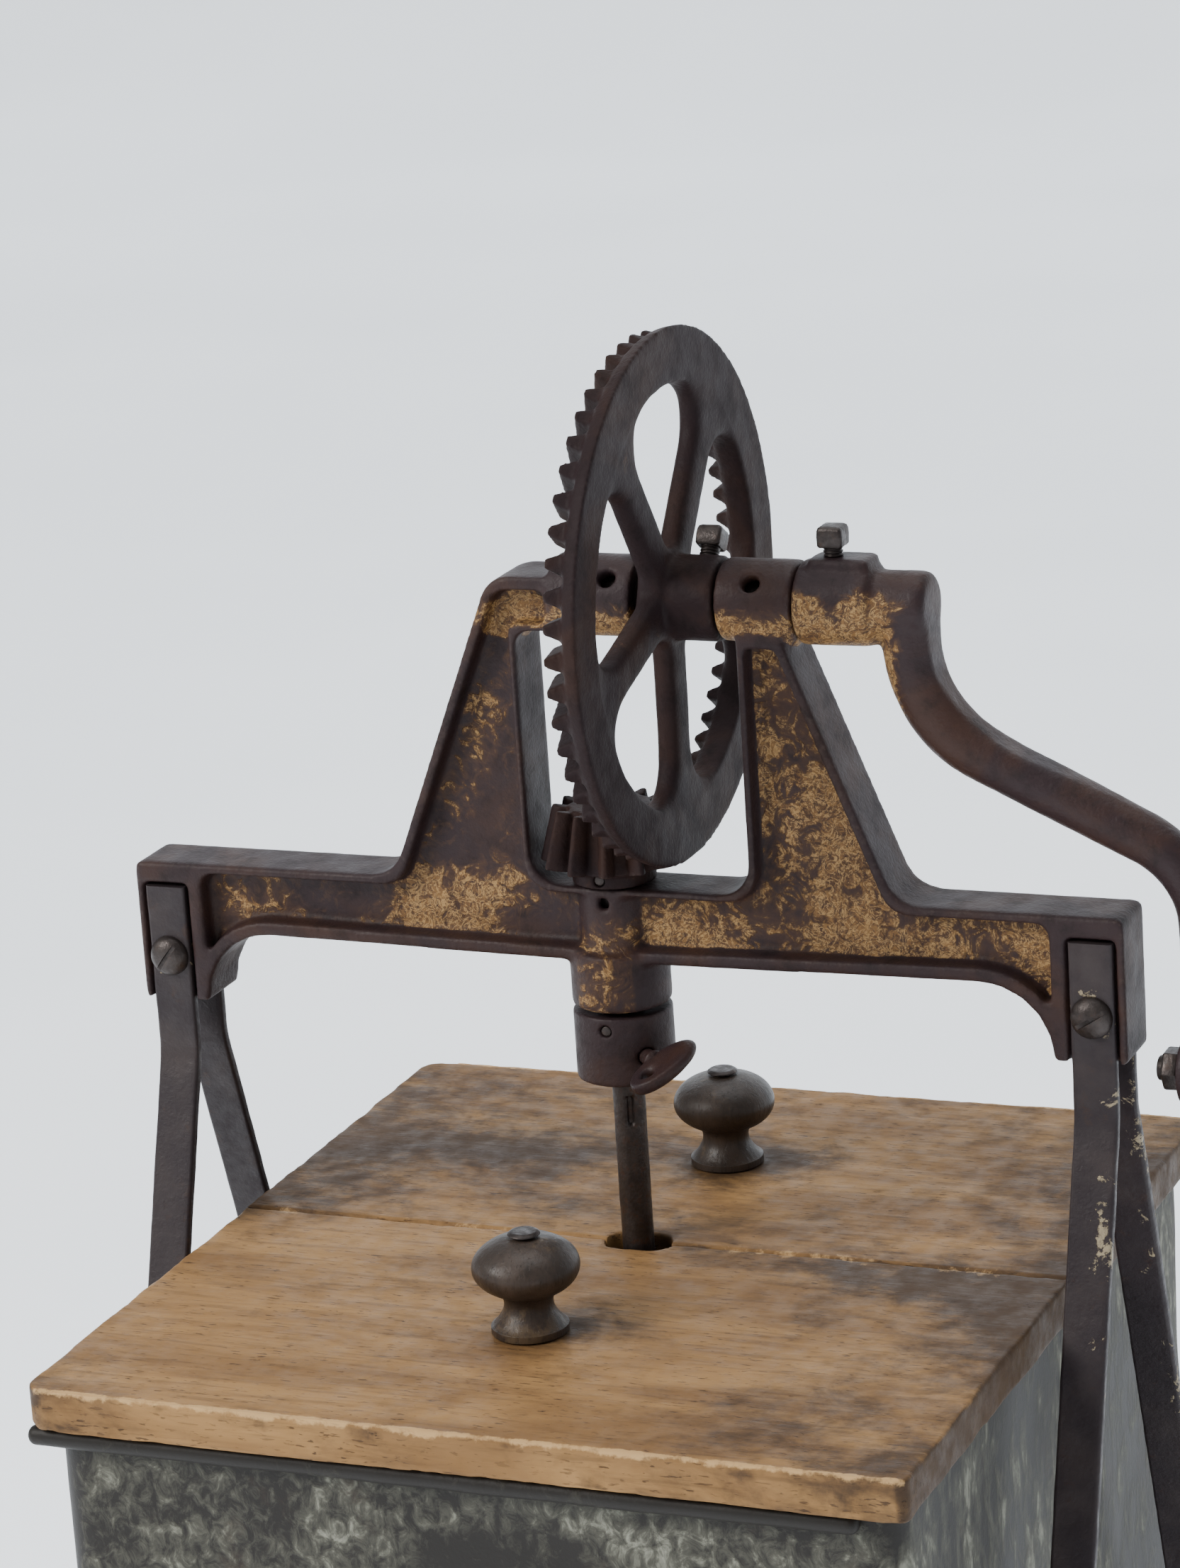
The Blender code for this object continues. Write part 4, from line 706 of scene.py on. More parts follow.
def armMesh():
    form = armLook
    low, high = span("crank_arm")
    rootX, endX = low[0] + form["rootFromHub"], high[0] - form["eyeLength"] / 2
    bend = shaftZ - form["drop"] - form["rise"]
    line = filleted([(rootX, shaftZ - 0.002, 0), (rootX, shaftZ - form["drop"], form["bendTop"]),
                     (endX, bend, form["bendLow"]), (endX, gripZ, 0)], steps=24)
    line = divided(line, 0.003)
    path = np.column_stack([line[:, 0], np.full(len(line), shaftY), line[:, 1]])
    share = np.clip((shaftZ - line[:, 1]) / (form["drop"] + form["rise"]), 0, 1)
    radius = form["rootRadius"] + (form["armRadius"] - form["rootRadius"]) * share
    turn = np.linspace(0, 2 * np.pi, 49)
    circle = np.column_stack([np.cos(turn), np.sin(turn)])
    points, faces = carried(path, circle, (0, 1, 0), radius)
    # High up, the outer side is cut flat: no point stands further out than a share of the radius.
    line = np.interp(points[:, 2], path[::-1, 2], path[::-1, 0])
    limit = form["rootRadius"] * (form["flat"] + 1.2 * eased(points[:, 2], shaftZ - 0.02, shaftZ - 0.075))
    points[:, 0] = np.minimum(points[:, 0], np.where(points[:, 2] > shaftZ - 0.075, line + limit, 1.0))
    pushed = eased(points[:, 2], shaftZ - 0.075, shaftZ - 0.02) * form["rootRadius"]
    points[:, 0] += pushed * (1 - form["flat"]) * 0.9
    arm = points, faces
    length = rootX + form["rootRadius"] - 0.0006 - low[0]
    step = form["hubLength"]
    outline = filleted([(0, 0, 0), (form["hubRadius"], 0, 0.0012), (form["hubRadius"], step, 0.0012),
                        (form["shoulder"], step + 0.0015, 0.001),
                        (form["shoulder"], length, form["shoulderEdge"]),
                        (0, length, 0)], steps=6)
    hub = turned(divided(outline, 0.002), (low[0], shaftY, shaftZ), "X", 96)
    pad = roundedRectangle(form["hubLength"] / 2 - 0.002, form["padHalf"], 0.003)
    padTop = form["hubRadius"] + form["padRise"]
    pad = stacked(pad, [(0, 1), (padTop - 0.0005, 1), (padTop, 0.95)],
                  (low[0] + form["hubLength"] / 2 + 0.002, shaftY, shaftZ))
    outline = barProfile(form["eyeRadius"], form["eyeLength"], 0.0018)
    eye = turned(divided(outline, 0.002), (high[0] - form["eyeLength"], shaftY, gripZ), "X", 72)
    return meshOf("crank_arm_solid", together(arm, hub, pad, eye))


hubEnd = span("crank_arm")[0][0] + armLook["hubLength"]


def elbowShare(points):
    # The inner corner below the hub is filled and rounded more than the rest.
    away = np.hypot(points[:, 0] - hubEnd + 0.003, points[:, 2] - shaftZ + armLook["hubRadius"])
    return eased(away, 0.012, 0.003)


def gildArm(points, normal):
    # Paint is left under the hub and on the top of the arm, with a few flecks further down.
    height = points[:, 2]
    gilt = eased(points[:, 0], hubEnd + 0.02, hubEnd + 0.002) * eased(height, shaftZ + 0.012, shaftZ + 0.001)
    gilt = gilt * eased(height, shaftZ - 0.07, shaftZ - 0.03) * (0.95 + 0.3 * wobble(points, 0.02, 62))
    return np.clip(gilt + 0.16 * eased(wobble(points, 0.02, 63), 0.3, 0.9), 0, 1)


castPiece("crank_arm", "crank", ironArm, gildArm, armMesh(), voxel=0.0009, rounds=7, grit=0.0002, seed=61,
          extra=(26, elbowShare))

# ---------- shaft, spindle and pins ----------


def rodShape(node, axis, edge, sides=64):
    # A round bar between the ends of its CAD node, with rounded rims.
    low, high = span(node)
    k = "XYZ".index(axis)
    radius = (high[(k + 1) % 3] - low[(k + 1) % 3]) / 2
    length = high[k] - low[k]
    centre = (low + high) / 2
    centre[k] = low[k]
    return turned(divided(barProfile(radius, length, edge, 4), 0.004), centre, axis, sides)


plainRods = {
    "drive_shaft": ("X", "crank", 0.001), "pinion_spindle": ("Z", "dasher", 0.001),
    "pinion_pin": ("Y", "dasher", 0.0006), "collar_pin": ("Y", "dasher", 0.0006),
    "hub_pin": ("Y", "dasher", 0.0006),
}
for node, (axis, body, edge) in plainRods.items():
    piece(node, "_bar", bumpedIn(rodShape(node, axis, edge), 0.00008, 0.006, 70), body, fastenerSteel)

rodLook = {"keyLow": 0.0475, "keyHigh": 0.059, "keyHalf": 0.0014, "keyDepth": 0.0016, "keyTurn": -1.15}


def dasherRod():
    # Round bar whose radius is less by the key slot's depth between two heights and two angles.
    look = rodLook
    low, high = span("dasher_rod")
    radius, length = (high[0] - low[0]) / 2, high[2] - low[2]
    outline = divided(barProfile(radius, length, 0.001, 4), 0.0007)
    points, faces = turned(outline, (spindleX, spindleY, low[2]), "Z", 72)
    around = np.arctan2(points[:, 1] - spindleY, points[:, 0] - spindleX)
    off = np.abs((around - look["keyTurn"] + np.pi) % (2 * np.pi) - np.pi) * radius
    above = points[:, 2] - lidTop
    middleZ, halfZ = (look["keyLow"] + look["keyHigh"]) / 2, (look["keyHigh"] - look["keyLow"]) / 2
    beyond = np.maximum(np.abs(above - middleZ) - halfZ + look["keyHalf"], 0)
    inside = eased(np.hypot(off, beyond), look["keyHalf"] + 0.0002, look["keyHalf"] - 0.0003)
    reach = np.hypot(points[:, 0] - spindleX, points[:, 1] - spindleY)
    share = 1 - inside * look["keyDepth"] / radius * (reach > radius * 0.8)
    points[:, 0] = spindleX + (points[:, 0] - spindleX) * share
    points[:, 1] = spindleY + (points[:, 1] - spindleY) * share
    return bumpedIn((points, faces), 0.00015, 0.01, 71)


piece("dasher_rod", "_bar", dasherRod(), "dasher", rodSteel)

# ---------- set screws, bolts and nuts ----------

setScrewLook = {"radius": 0.0035, "neck": 0.0035, "headHalf": 0.0047, "headHeight": 0.0075,
                "corner": 0.0011, "pitch": 0.00125}


def squareScrew(seat):
    # A square head with worn corners on a round neck, standing along Z from the axis it holds.
    look = setScrewLook
    height = np.linspace(0.009, seat + look["neck"] + 0.001, 90)
    radius = look["radius"] * (0.93 + 0.07 * np.cos(height / look["pitch"] * 2 * np.pi))
    bar = np.vstack([[(0, height[0])], np.column_stack([radius, height]), [(0, height[-1])]])
    neck = turned(bar, (0, 0, 0), "Z", 40)
    outline = divided(roundedRectangle(look["headHalf"], look["headHalf"], look["corner"]), 0.0012)
    start, tall = seat + look["neck"], look["headHeight"]
    levels = [(start, 0.7), (start, 0.88), (start + 0.0006, 0.97), (start + tall * 0.5, 1.0),
              (start + tall - 0.0016, 0.97), (start + tall - 0.0006, 0.9), (start + tall - 0.0001, 0.74),
              (start + tall, 0.45)]
    return together(neck, stacked(outline, levels, (0, 0, 0)))


def tiltedTo(shape, out, centre):
    # The shape's Z axis is turned to the direction out, across the shaft, and its origin put at centre.
    out = np.array([0, out[0], out[1]]) / math.hypot(*out)
    side = np.array([1.0, 0, 0])
    turn = np.stack([side, np.cross(out, side), out], 1)
    return shape[0] @ turn.T + centre, shape[1]


seats = {"wheel_set_screw": 0.0155, "crank_set_screw": armLook["hubRadius"] + armLook["padRise"]}
for node, seat in seats.items():
    centre = middle(node)
    out = (centre[1] - shaftY, centre[2] - shaftZ)
    shape = tiltedTo(squareScrew(seat), out, (centre[0], shaftY, shaftZ))
    piece(node, "_head", bumpedIn(shape, 0.00015, 0.006, 75), "crank", fastenerSteel)

boltLook = {"head": 0.0077, "height": 0.0048, "radius": 0.004, "slotHalf": 0.0008, "slotDepth": 0.0016,
            "turns": {"left": -38, "right": -58}}


def slottedHead(turn):
    # Stations u cross the slot and v run along it: height = H sqrt(1 - r^2/R^2), less in the slot.
    look = boltLook
    size, half = look["head"], look["slotHalf"]
    angle = np.linspace(-np.pi / 2, np.pi / 2, 37)
    beside = np.array([-2e-5, 2e-5])
    u = np.sort(np.concatenate([size * np.sin(angle), beside - half, beside + half]))
    share = np.sin(np.linspace(-np.pi / 2, np.pi / 2, 41))
    v = np.sqrt(np.maximum(size ** 2 - u[:, None] ** 2, 0)) * share
    u = np.broadcast_to(u[:, None], v.shape)
    height = look["height"] * np.sqrt(np.maximum(1 - (u ** 2 + v ** 2) / size ** 2, 0)) ** 0.9
    height = np.where(np.abs(u) < half, np.minimum(height, look["height"] - look["slotDepth"]), height)
    x, z = u * math.cos(turn) - v * math.sin(turn), u * math.sin(turn) + v * math.cos(turn)
    top = gridSurface(np.stack([x, -height, z], -1))
    under = gridSurface(np.stack([x, np.zeros_like(height), z], -1))
    return together(top, under)


for side in ("left", "right"):
    node = "frame_bolt_" + side
    low, high = span(node)
    x, z = (low[0] + high[0]) / 2, (low[2] + high[2]) / 2
    face = low[1] + boltLook["height"]
    head = slottedHead(math.radians(boltLook["turns"][side]))
    head = (head[0] + (x, face, z), head[1])
    shank = barProfile(boltLook["radius"], high[1] - face, 0.0008, foot=0)
    shape = together(head, turned(divided(shank, 0.003), (x, face, z), "Y", 40))
    piece(node, "_round", shape, "base", fastenerSteel)


def nutShape(node, axis, outline):
    # A nut: its outline is chamfered at both ends.
    low, high = span(node)
    k = "XYZ".index(axis)
    centre = (low + high) / 2
    centre[k] = low[k]
    tall = high[k] - low[k]
    levels = [(0, 0.9), (0.0004, 0.975), (0.001, 1), (tall - 0.001, 1), (tall - 0.0004, 0.975), (tall, 0.9)]
    return stacked(outline, levels, centre, axis)


for side in ("left", "right"):
    node = "frame_nut_" + side
    shape = nutShape(node, "Y", divided(roundedRectangle(0.0065, 0.0065, 0.0009), 0.0015))
    piece(node, "_square", bumpedIn(shape, 0.00012, 0.006, 77), "base", fastenerSteel)

nutLow, nutHigh = span("grip_nut")
wideY, wideZ = (nutHigh - nutLow)[1:]
reach = max(wideY, wideZ) / 2
turn = np.arange(6) * np.pi / 3 + (np.pi / 2 if wideZ > wideY else 0)
hexagon = divided(filleted([(reach * math.cos(t), reach * math.sin(t), 0.0006) for t in turn], True),
                  0.0015)
shape = nutShape("grip_nut", "X", hexagon)
piece("grip_nut", "_hexagon", bumpedIn(shape, 0.0001, 0.006, 78), "crank", fastenerSteel)

low, high = span("grip_washer")
outline = filleted([(0.0048, 0, 0.0003), (0.013, 0, 0.0006), (0.013, high[0] - low[0], 0.0006),
                    (0.0048, high[0] - low[0], 0.0003)], True, 4)
piece("grip_washer", "_ring", turned(outline, (low[0], shaftY, gripZ), "X", 72), "crank", fastenerSteel)

low, high = span("grip_bolt")
headHeight, headRadius, shankRadius = 0.003, 0.009, 0.0045
length = high[0] - low[0]
outline = filleted([(0, 0, 0), (shankRadius, 0, 0.0008), (shankRadius, length - headHeight, 0),
                    (headRadius, length - headHeight, 0.0005),
                    (headRadius, length, 0.0016), (0, length, 0)], steps=5)
piece("grip_bolt", "_round", turned(divided(outline, 0.003), (low[0], shaftY, gripZ), "X", 56), "crank",
      fastenerSteel)

# ---------- thumb screw ----------

thumbLook = {"azimuth": math.radians(-42), "tilt": math.radians(28), "reach": 0.0085, "half": 0.0145,
             "thick": 0.005, "shank": 0.003, "hole": 0.0023, "holeOff": -0.0068, "collar": 0.0185,
             "neck": 0.0045}


def thumbScrew():
    # An oval plate: point = hole edge (1 - s) + oval (s), thick = T sqrt(1 - |2s - 1|^5), round a small hole.
    look = thumbLook
    turn = np.linspace(0, 2 * np.pi, 73)
    share = 0.5 - 0.5 * np.cos(np.linspace(0, np.pi, 17))
    share = np.concatenate([share, share[-2::-1]])[:, None]
    above = np.concatenate([np.ones(17), -np.ones(16)])[:, None]
    swell = look["thick"] / 2 * np.maximum(1 - np.abs(2 * share - 1) ** 5, 0) ** 0.5 * above
    outA, outB = look["reach"] * np.cos(turn), look["half"] * np.sin(turn)
    holeA, holeB = look["hole"] * np.cos(turn), look["holeOff"] + look["hole"] * np.sin(turn)
    a = holeA * (1 - share) + outA * share
    b = holeB * (1 - share) + outB * share
    h = np.broadcast_to(swell, a.shape)
    start = look["collar"] + look["neck"]
    tilt = look["tilt"]
    grid = np.stack([start + look["reach"] + a, b * math.cos(tilt) - h * math.sin(tilt),
                     b * math.sin(tilt) + h * math.cos(tilt)], -1)
    outline = filleted([(0, 0.0065, 0), (look["shank"], 0.0065, 0.0005),
                        (look["shank"], start - 0.0012, 0.001),
                        (0.0042, start + 0.0008, 0.001), (0.0012, start + 0.0035, 0),
                        (0, start + 0.0035, 0)])
    shank = turned(divided(outline, 0.002), (0, 0, 0), "X", 40)
    points, faces = together(gridSurface(grid), shank)
    c, s = math.cos(look["azimuth"]), math.sin(look["azimuth"])
    turnZ = np.array([[c, -s, 0], [s, c, 0], [0, 0, 1]])
    return points @ turnZ.T + (spindleX, spindleY, middle("thumb_screw")[2]), faces


piece("thumb_screw", "_plate", bumpedIn(thumbScrew(), 0.0001, 0.008, 81), "thumb_screw", thumbIron)
print("screws")

# ---------- strap legs, base bars and rivets ----------

strapForm = {"thick": 0.004, "bendBelow": 0.021, "bendSoft": 0.03, "footLength": 0.026, "footSoft": 0.008,
             "edge": 0.0011}


def strapLeg(node, face):
    # Flat bar carried down a bent line in the YZ plane.
    form = strapForm
    low, high = span(node)
    half = form["thick"] / 2
    inner, outer = (high[1], low[1]) if face < 0 else (low[1], high[1])
    topY, bendZ, footZ = inner + face * half, frameLow[2] - form["bendBelow"], low[2] + half
    line = filleted([(topY, high[2], 0), (topY, bendZ, form["bendSoft"]),
                     (outer - face * form["footLength"], footZ, form["footSoft"]), (outer, footZ, 0)],
                     steps=10)
    line = divided(line, 0.004)
    path = np.column_stack([np.full(len(line), (low[0] + high[0]) / 2), line])
    section = divided(roundedRectangle(half, (high[0] - low[0]) / 2, form["edge"], 4), 0.0016)
    points, faces = bumpedIn(carried(path, section, (1, 0, 0)), 0.00025, 0.012, 90)
    return points, faces


boltPlace = {side: middle("frame_bolt_" + side) for side in ("left", "right")}
for side in ("left", "right"):
    for face, faceName in ((-1, "front"), (1, "back")):
        node = f"leg_{side}_{faceName}"
        points, faces = strapLeg(node, face)
        bolt = boltPlace[side]
        fromBolt = np.hypot(points[:, 0] - bolt[0], points[:, 2] - bolt[2])
        chips = 0.25 + 0.2 * wobble(points, 0.05, 91) + eased(np.abs(fromBolt - 0.0086), 0.0014, 0.0004)
        if side == "right":
            centreX = span(node)[0][0] + 0.008
            heavy = 0.62 + 0.3 * wobble(points, 0.03, 92)
            heavy = heavy * eased(points[:, 0] - centreX, -0.004, 0.004)
            chips = chips + heavy * eased(points[:, 2], frameLow[2] + 0.02, frameLow[2])
        values = {"chips": np.clip(chips, 0, 1)}
        piece(node, "_strap", (points, faces), "base", strapIron, values)
for face in ("front", "back"):
    points, faces, _ = slab(*bar("base_bar_" + face, 0.0008, 0.004, 0.003), 0.0007, 3)
    piece("base_bar_" + face, "_strap", (points, faces), "base", strapIron)
for side in ("left", "right"):
    for face in ("front", "back"):
        node = f"foot_rivet_{side}_{face}"
        low, high = span(node)
        radius, tall = (high[0] - low[0]) / 2, 0.0025
        height = high[2] - low[2]
        turn = np.linspace(np.pi / 2, 0, 10)
        dome = np.column_stack([radius * np.cos(turn), height - tall + tall * np.sin(turn)])
        outline = np.vstack([dome, [(0.003, height - tall), (0.003, 0.0004), (0.0026, 0), (0, 0)]])
        centre = footOf(node)
        piece(node, "_round", turned(outline, centre, "Z", 40), "base", fastenerSteel)
print("straps")

# ---------- tank ----------

tankLook = {"wall": 0.0009, "corner": 0.014, "bead": 0.0036, "dent": 0.0006}


def tankShell():
    # The wall's closed section (out, height) goes round a rounded rectangle, and dents push it in or out.
    look = tankLook
    bead = look["bead"]
    halfX = (tankHigh[0] - tankLow[0] - 0.006) / 2
    halfY = (tankHigh[1] - tankLow[1]) / 2 - 2 * bead + look["wall"]
    centre = np.array([tankHigh[0] - halfX, (tankLow[1] + tankHigh[1]) / 2])
    tall, wall = tankHigh[2] - tankLow[2], look["wall"]
    section = filleted([(0, 0, 0.0004), (0, tall, 0.0004), (-wall, tall, 0.0004), (-wall, 0, 0.0004)], True,
                       3)
    section = divided(section, 0.006)
    outline = divided(roundedRectangle(halfX, halfY, look["corner"], 9), 0.005)
    ahead = np.roll(outline[:-1], -1, 0) - np.roll(outline[:-1], 1, 0)
    out = np.column_stack([ahead[:, 1], -ahead[:, 0]])
    out /= np.linalg.norm(out, axis=1)[:, None]
    out = np.vstack([out, out[:1]])
    grid = np.empty((len(section), len(outline), 3))
    grid[..., :2] = outline[None] + section[:, None, :1] * out[None] + centre
    grid[..., 2] = tankLow[2] + section[:, 1:]
    around = np.broadcast_to(outline + centre, grid[..., :2].shape)
    middleLine = np.concatenate([around, grid[..., 2:]], -1)
    calm = eased(section[:, 1:], 0, 0.05) * eased(section[:, 1:], tall, tall - 0.03)
    push = wobble(middleLine, 0.11, 101) - 0.6 * np.abs(wobble(middleLine, 0.035, 102))
    push = look["dent"] * push * calm
    grid[..., :2] += push[..., None] * out[None]
    return gridSurface(grid), centre, halfX, halfY


def rimBead(y, left, right):
    # A rolled wire edge, a round bar whose line sags a little from place to place.
    bead = tankLook["bead"]
    outline = barProfile(bead, right - left, bead * 0.8, 6)
    z = tankHigh[2] - bead - 0.0003
    shape = turned(divided(outline, 0.004), (left, y, z), "X", 28)
    return bumpedIn(shape, 0.0005, 0.03, 103)


shell, centre, halfX, halfY = tankShell()
beadY = halfY + tankLook["bead"] - tankLook["wall"]
beadEnd = centre[0] + halfX - tankLook["corner"]
beads = [rimBead(centre[1] + face * beadY, tankLow[0], beadEnd) for face in (-1, 1)]
points, faces = together(shell, *beads)
normal = vertexNormals(points, faces)
isBead = np.arange(len(points)) >= len(shell[0])
depthUnder = tankHigh[2] - points[:, 2]
# Darker just under the lid: a painted shadow of the lid; the wobble adds random dark patches.
dark = 0.75 * eased(depthUnder, 0.016, 0.009) + 0.8 * eased(wobble(points, 0.06, 104), 0.35, 0.75)
patch = np.exp(-((points[:, 0] - centre[0] - 0.015) ** 2 / 0.05 ** 2
                 + (depthUnder - 0.035) ** 2 / 0.016 ** 2))
inside = (np.abs(points[:, :2] - centre) < np.array([halfX, halfY]) - 0.0006).all(1)
# Faces turned towards +X are darkened: painted shade on the right wall.
dark = dark * 0.5 + 0.9 * eased(normal[:, 0], 0.5, 0.9) - 0.12
# The inside of the wall is darkened too: painted shade; the patch is a dark patch on the front wall.
dark = dark + patch * 0.7 * (points[:, 1] < centre[1]) + 0.25 * inside
grime_and_shade = np.where(isBead, 0.95, np.clip(dark, 0, 1))
values = {"streak": eased(np.abs(normal[:, 0]), 0.5, 0.8) * ~isBead, "grime_and_shade": grime_and_shade}
piece("tank_shell", "_sheet", (points, faces), "base", tankSheet, values)

low, high = span("tank_bottom")
outline = divided(roundedRectangle((high[0] - low[0]) / 2, (high[1] - low[1]) / 2,
                                   tankLook["corner"] - 0.0012, 9), 0.008)
wall = tankLook["wall"]
top = high[2] - low[2]
upper, lower = (0.1, 0.3, 0.6, 0.85, 0.97, 0.994), (0.99, 0.85, 0.6, 0.3, 0.1)
rows = [(share, top) for share in upper] + [
    (1, top - 0.0008), (1, top / 2), (1, 0.0002), (0.998, 0), (0.9945, 0.0002), (0.9945, top / 2),
    (0.9945, top - wall - 0.0008)] + [(share, top - wall) for share in lower]
shape = stacked(outline, [(height, scale) for scale, height in rows], footOf("tank_bottom"))
piece("tank_bottom", "_pan", shape, "base", tankSheet, {"grime_and_shade": np.full(len(shape[0]), 0.3)})

cupLook = {"bore": 0.0062, "radius": 0.011, "flange": 0.022, "flangeThick": 0.002}
low, high = span("pivot_cup")
tall = high[2] - low[2]
outline = filleted([
    (0, cupLook["flangeThick"], 0), (cupLook["bore"], cupLook["flangeThick"], 0.0004),
    (cupLook["bore"], tall, 0.0006),
    (cupLook["radius"], tall, 0.0014), (cupLook["radius"], cupLook["flangeThick"] + 0.001, 0.003),
    (cupLook["flange"], cupLook["flangeThick"], 0.0006), (cupLook["flange"], 0, 0.0004), (0, 0, 0)],
    steps=5)
piece("pivot_cup", "_casting", turned(divided(outline, 0.003), (spindleX, spindleY, low[2]), "Z", 72),
      "base", ironWheelShaded)
print("tank")

# ---------- lid boards, cleats and knobs ----------

lidLook = {"slotHalfLength": 0.013, "slotHalfWidth": 0.008, "leftCorner": 0.010, "rightCorner": 0.004,
           "ease": 0.0019, "step": 0.0032}
lidLeft, lidRight = span("lid_front")[0][0], span("lid_front")[1][0]
lidFrontY, lidBackY = span("lid_front")[0][1], span("lid_back")[1][1]

# Each stain is (share of the width, share of the depth, half width, half depth, strength).
lidStains = [
    (0.53, 0.285, 0.024, 0.012, 0.5), (0.50, 0.262, 0.018, 0.018, 0.45), (0.92, 0.46, 0.040, 0.018, 0.62),
    (0.96, 0.36, 0.022, 0.03, 0.5), (0.76, 0.41, 0.010, 0.03, 0.35), (0.82, 0.15, 0.035, 0.018, 0.42),
    (0.79, 0.06, 0.02, 0.016, 0.5), (0.95, 0.03, 0.022, 0.012, 0.5), (0.31, 0.40, 0.016, 0.014, 0.4),
    (0.02, 0.58, 0.035, 0.03, 0.62), (0.10, 0.72, 0.07, 0.02, 0.42), (0.26, 0.75, 0.06, 0.02, 0.45),
    (0.02, 0.85, 0.04, 0.05, 0.4), (0.56, 0.785, 0.026, 0.012, 0.5), (0.52, 0.757, 0.018, 0.018, 0.45),
    (0.36, 0.60, 0.05, 0.012, 0.3), (0.02, 0.02, 0.03, 0.02, 0.35), (0.98, 0.7, 0.04, 0.08, 0.3),
    (0.52, 0.53, 0.03, 0.012, 0.4), (0.30, 0.93, 0.08, 0.02, 0.2),
]


def lidPlan(face):
    # Stations x run along the split, with the rod's notch as half a slot; y runs from the split to the
    # outer edge, and each row is as wide as the rounded corners leave it.
    look = lidLook
    straight = look["slotHalfLength"] - look["slotHalfWidth"]
    width = look["slotHalfWidth"]
    turn = np.linspace(0, np.pi / 2, 9)
    notchLeft = spindleX - look["slotHalfLength"]
    notchRight = spindleX + look["slotHalfLength"]
    xs = np.concatenate([
        lidLeft + spaced(notchLeft - lidLeft, look["ease"] * 1.3, look["step"]),
        (spindleX - straight - width * np.cos(turn))[1:],
        spindleX + np.linspace(-straight, straight, 5)[1:-1],
        (spindleX + straight + width * np.sin(turn))[:-1],
        notchRight + spaced(lidRight - notchRight, look["ease"] * 1.3, look["step"])])
    beside = np.maximum(np.abs(xs - spindleX) - straight, 0)
    notch = np.maximum(np.sqrt(np.maximum(width ** 2 - beside ** 2, 0)), 0.0004)
    split = spindleY + face * notch
    outer = lidFrontY if face < 0 else lidBackY
    depth = abs(outer - spindleY)
    corner = look["leftCorner"]
    edge = corner * (1 - np.cos(np.linspace(0, np.pi / 2, 13)))
    near = spaced(depth - corner, look["ease"] * 1.3, look["step"])
    share = np.concatenate([near[:-5], np.linspace(near[-5], depth - corner, 3)[1:],
                            depth - edge[::-1][1:]]) / depth
    y = split[:, None] * (1 - share) + outer * share
    away = np.abs(outer - y)
    leftEdge = lidLeft + fallen(look["leftCorner"], away)
    rightEdge = lidRight - fallen(look["rightCorner"], away)
    x = leftEdge + (xs[:, None] - lidLeft) / (lidRight - lidLeft) * (rightEdge - leftEdge)
    return np.stack([x, y], -1)


def makeLid(face, name):
    plan = lidPlan(face)
    flat = np.column_stack([plan.reshape(-1, 2), np.full(plan.shape[0] * plan.shape[1], lidTop)])
    uneven = 0.35 * wobble(flat, 0.02, 111 + face) + 0.25 * wobble(flat, 0.006, 113 + face)
    ease = lidLook["ease"] * (1 + uneven)
    points, faces, distance = slab(plan, lidBottom, lidTop, np.clip(ease, 0.0007, 0.0032), 7)
    upper = eased(points[:, 2], lidBottom + 0.004, lidTop - 0.002)
    points[:, 2] -= upper * eased(distance, 0, 0.004) * 0.00025 * sunk(wobble(points, 0.05, 115))
    below = lidTop - points[:, 2]
    # The pale line on the long outer edges is edge wear and a painted highlight on the rounded arris;
    # the right end and the split stay dark.
    split = np.abs(points[:, 1] - spindleY)
    outerEdge = np.minimum(np.abs(points[:, 1] - lidFrontY), np.abs(points[:, 1] - lidBackY))
    line = np.exp(-((outerEdge - 0.0006) / 0.0016) ** 2) * np.exp(-(below / 0.0022) ** 2)
    wear_and_highlight = line * (1.15 + 0.35 * wobble(points, 0.03, 116)) * (outerEdge < 0.01)
    rubbed = 0.55 * np.exp(-(split / 0.005) ** 2) * eased(wobble(points, 0.03, 117), -0.1, 0.6)
    wear_and_highlight = wear_and_highlight + rubbed * (below < 0.002)
    across = (points[:, 0] - lidLeft) / (lidRight - lidLeft)
    depth = (points[:, 1] - lidFrontY) / (lidBackY - lidFrontY)
    stain_and_shade = 0.16 * (face > 0) + 0.12 * eased(points[:, 0], 0.0, 0.09)
    stain_and_shade = stain_and_shade + 0.10 * wobble(points, 0.09, 118) + 0.07 * wobble(points, 0.03, 119)
    for u, v, halfU, halfV, strength in lidStains:
        awayX = (across - u) * (lidRight - lidLeft) / halfU
        awayY = (depth - v) * (lidBackY - lidFrontY) / halfV
        stain_and_shade = stain_and_shade + strength * np.exp(-(awayX ** 2 + awayY ** 2) / 1.6)
    # The right end face is made much darker: painted shade.
    stain_and_shade = stain_and_shade + 0.9 * eased(across, 0.985, 1.0) * eased(below, 0.0002, 0.002)
    stain_and_shade = stain_and_shade + 0.25 * eased(across, 0.93, 1.0)
    stain_and_shade = stain_and_shade + 0.35 * (face < 0) * eased(split, 0.035, 0.004) * eased(across, 0.45, 0.62)
    stain_and_shade = stain_and_shade + 0.25 * eased(across, 0.01, 0.0) * eased(below, 0.0005, 0.004)
    stain_and_shade = stain_and_shade + 0.5 * eased(distance, 0.0005, 0.0) * eased(wobble(points, 0.016, 120), 0.5, 0.85)
    node = "lid_" + name
    values = {"wear_and_highlight": np.clip(wear_and_highlight, 0, 1), "stain_and_shade": np.clip(stain_and_shade, 0, 1)}
    piece(node, "_board", (points, faces), node, lidWood, values)


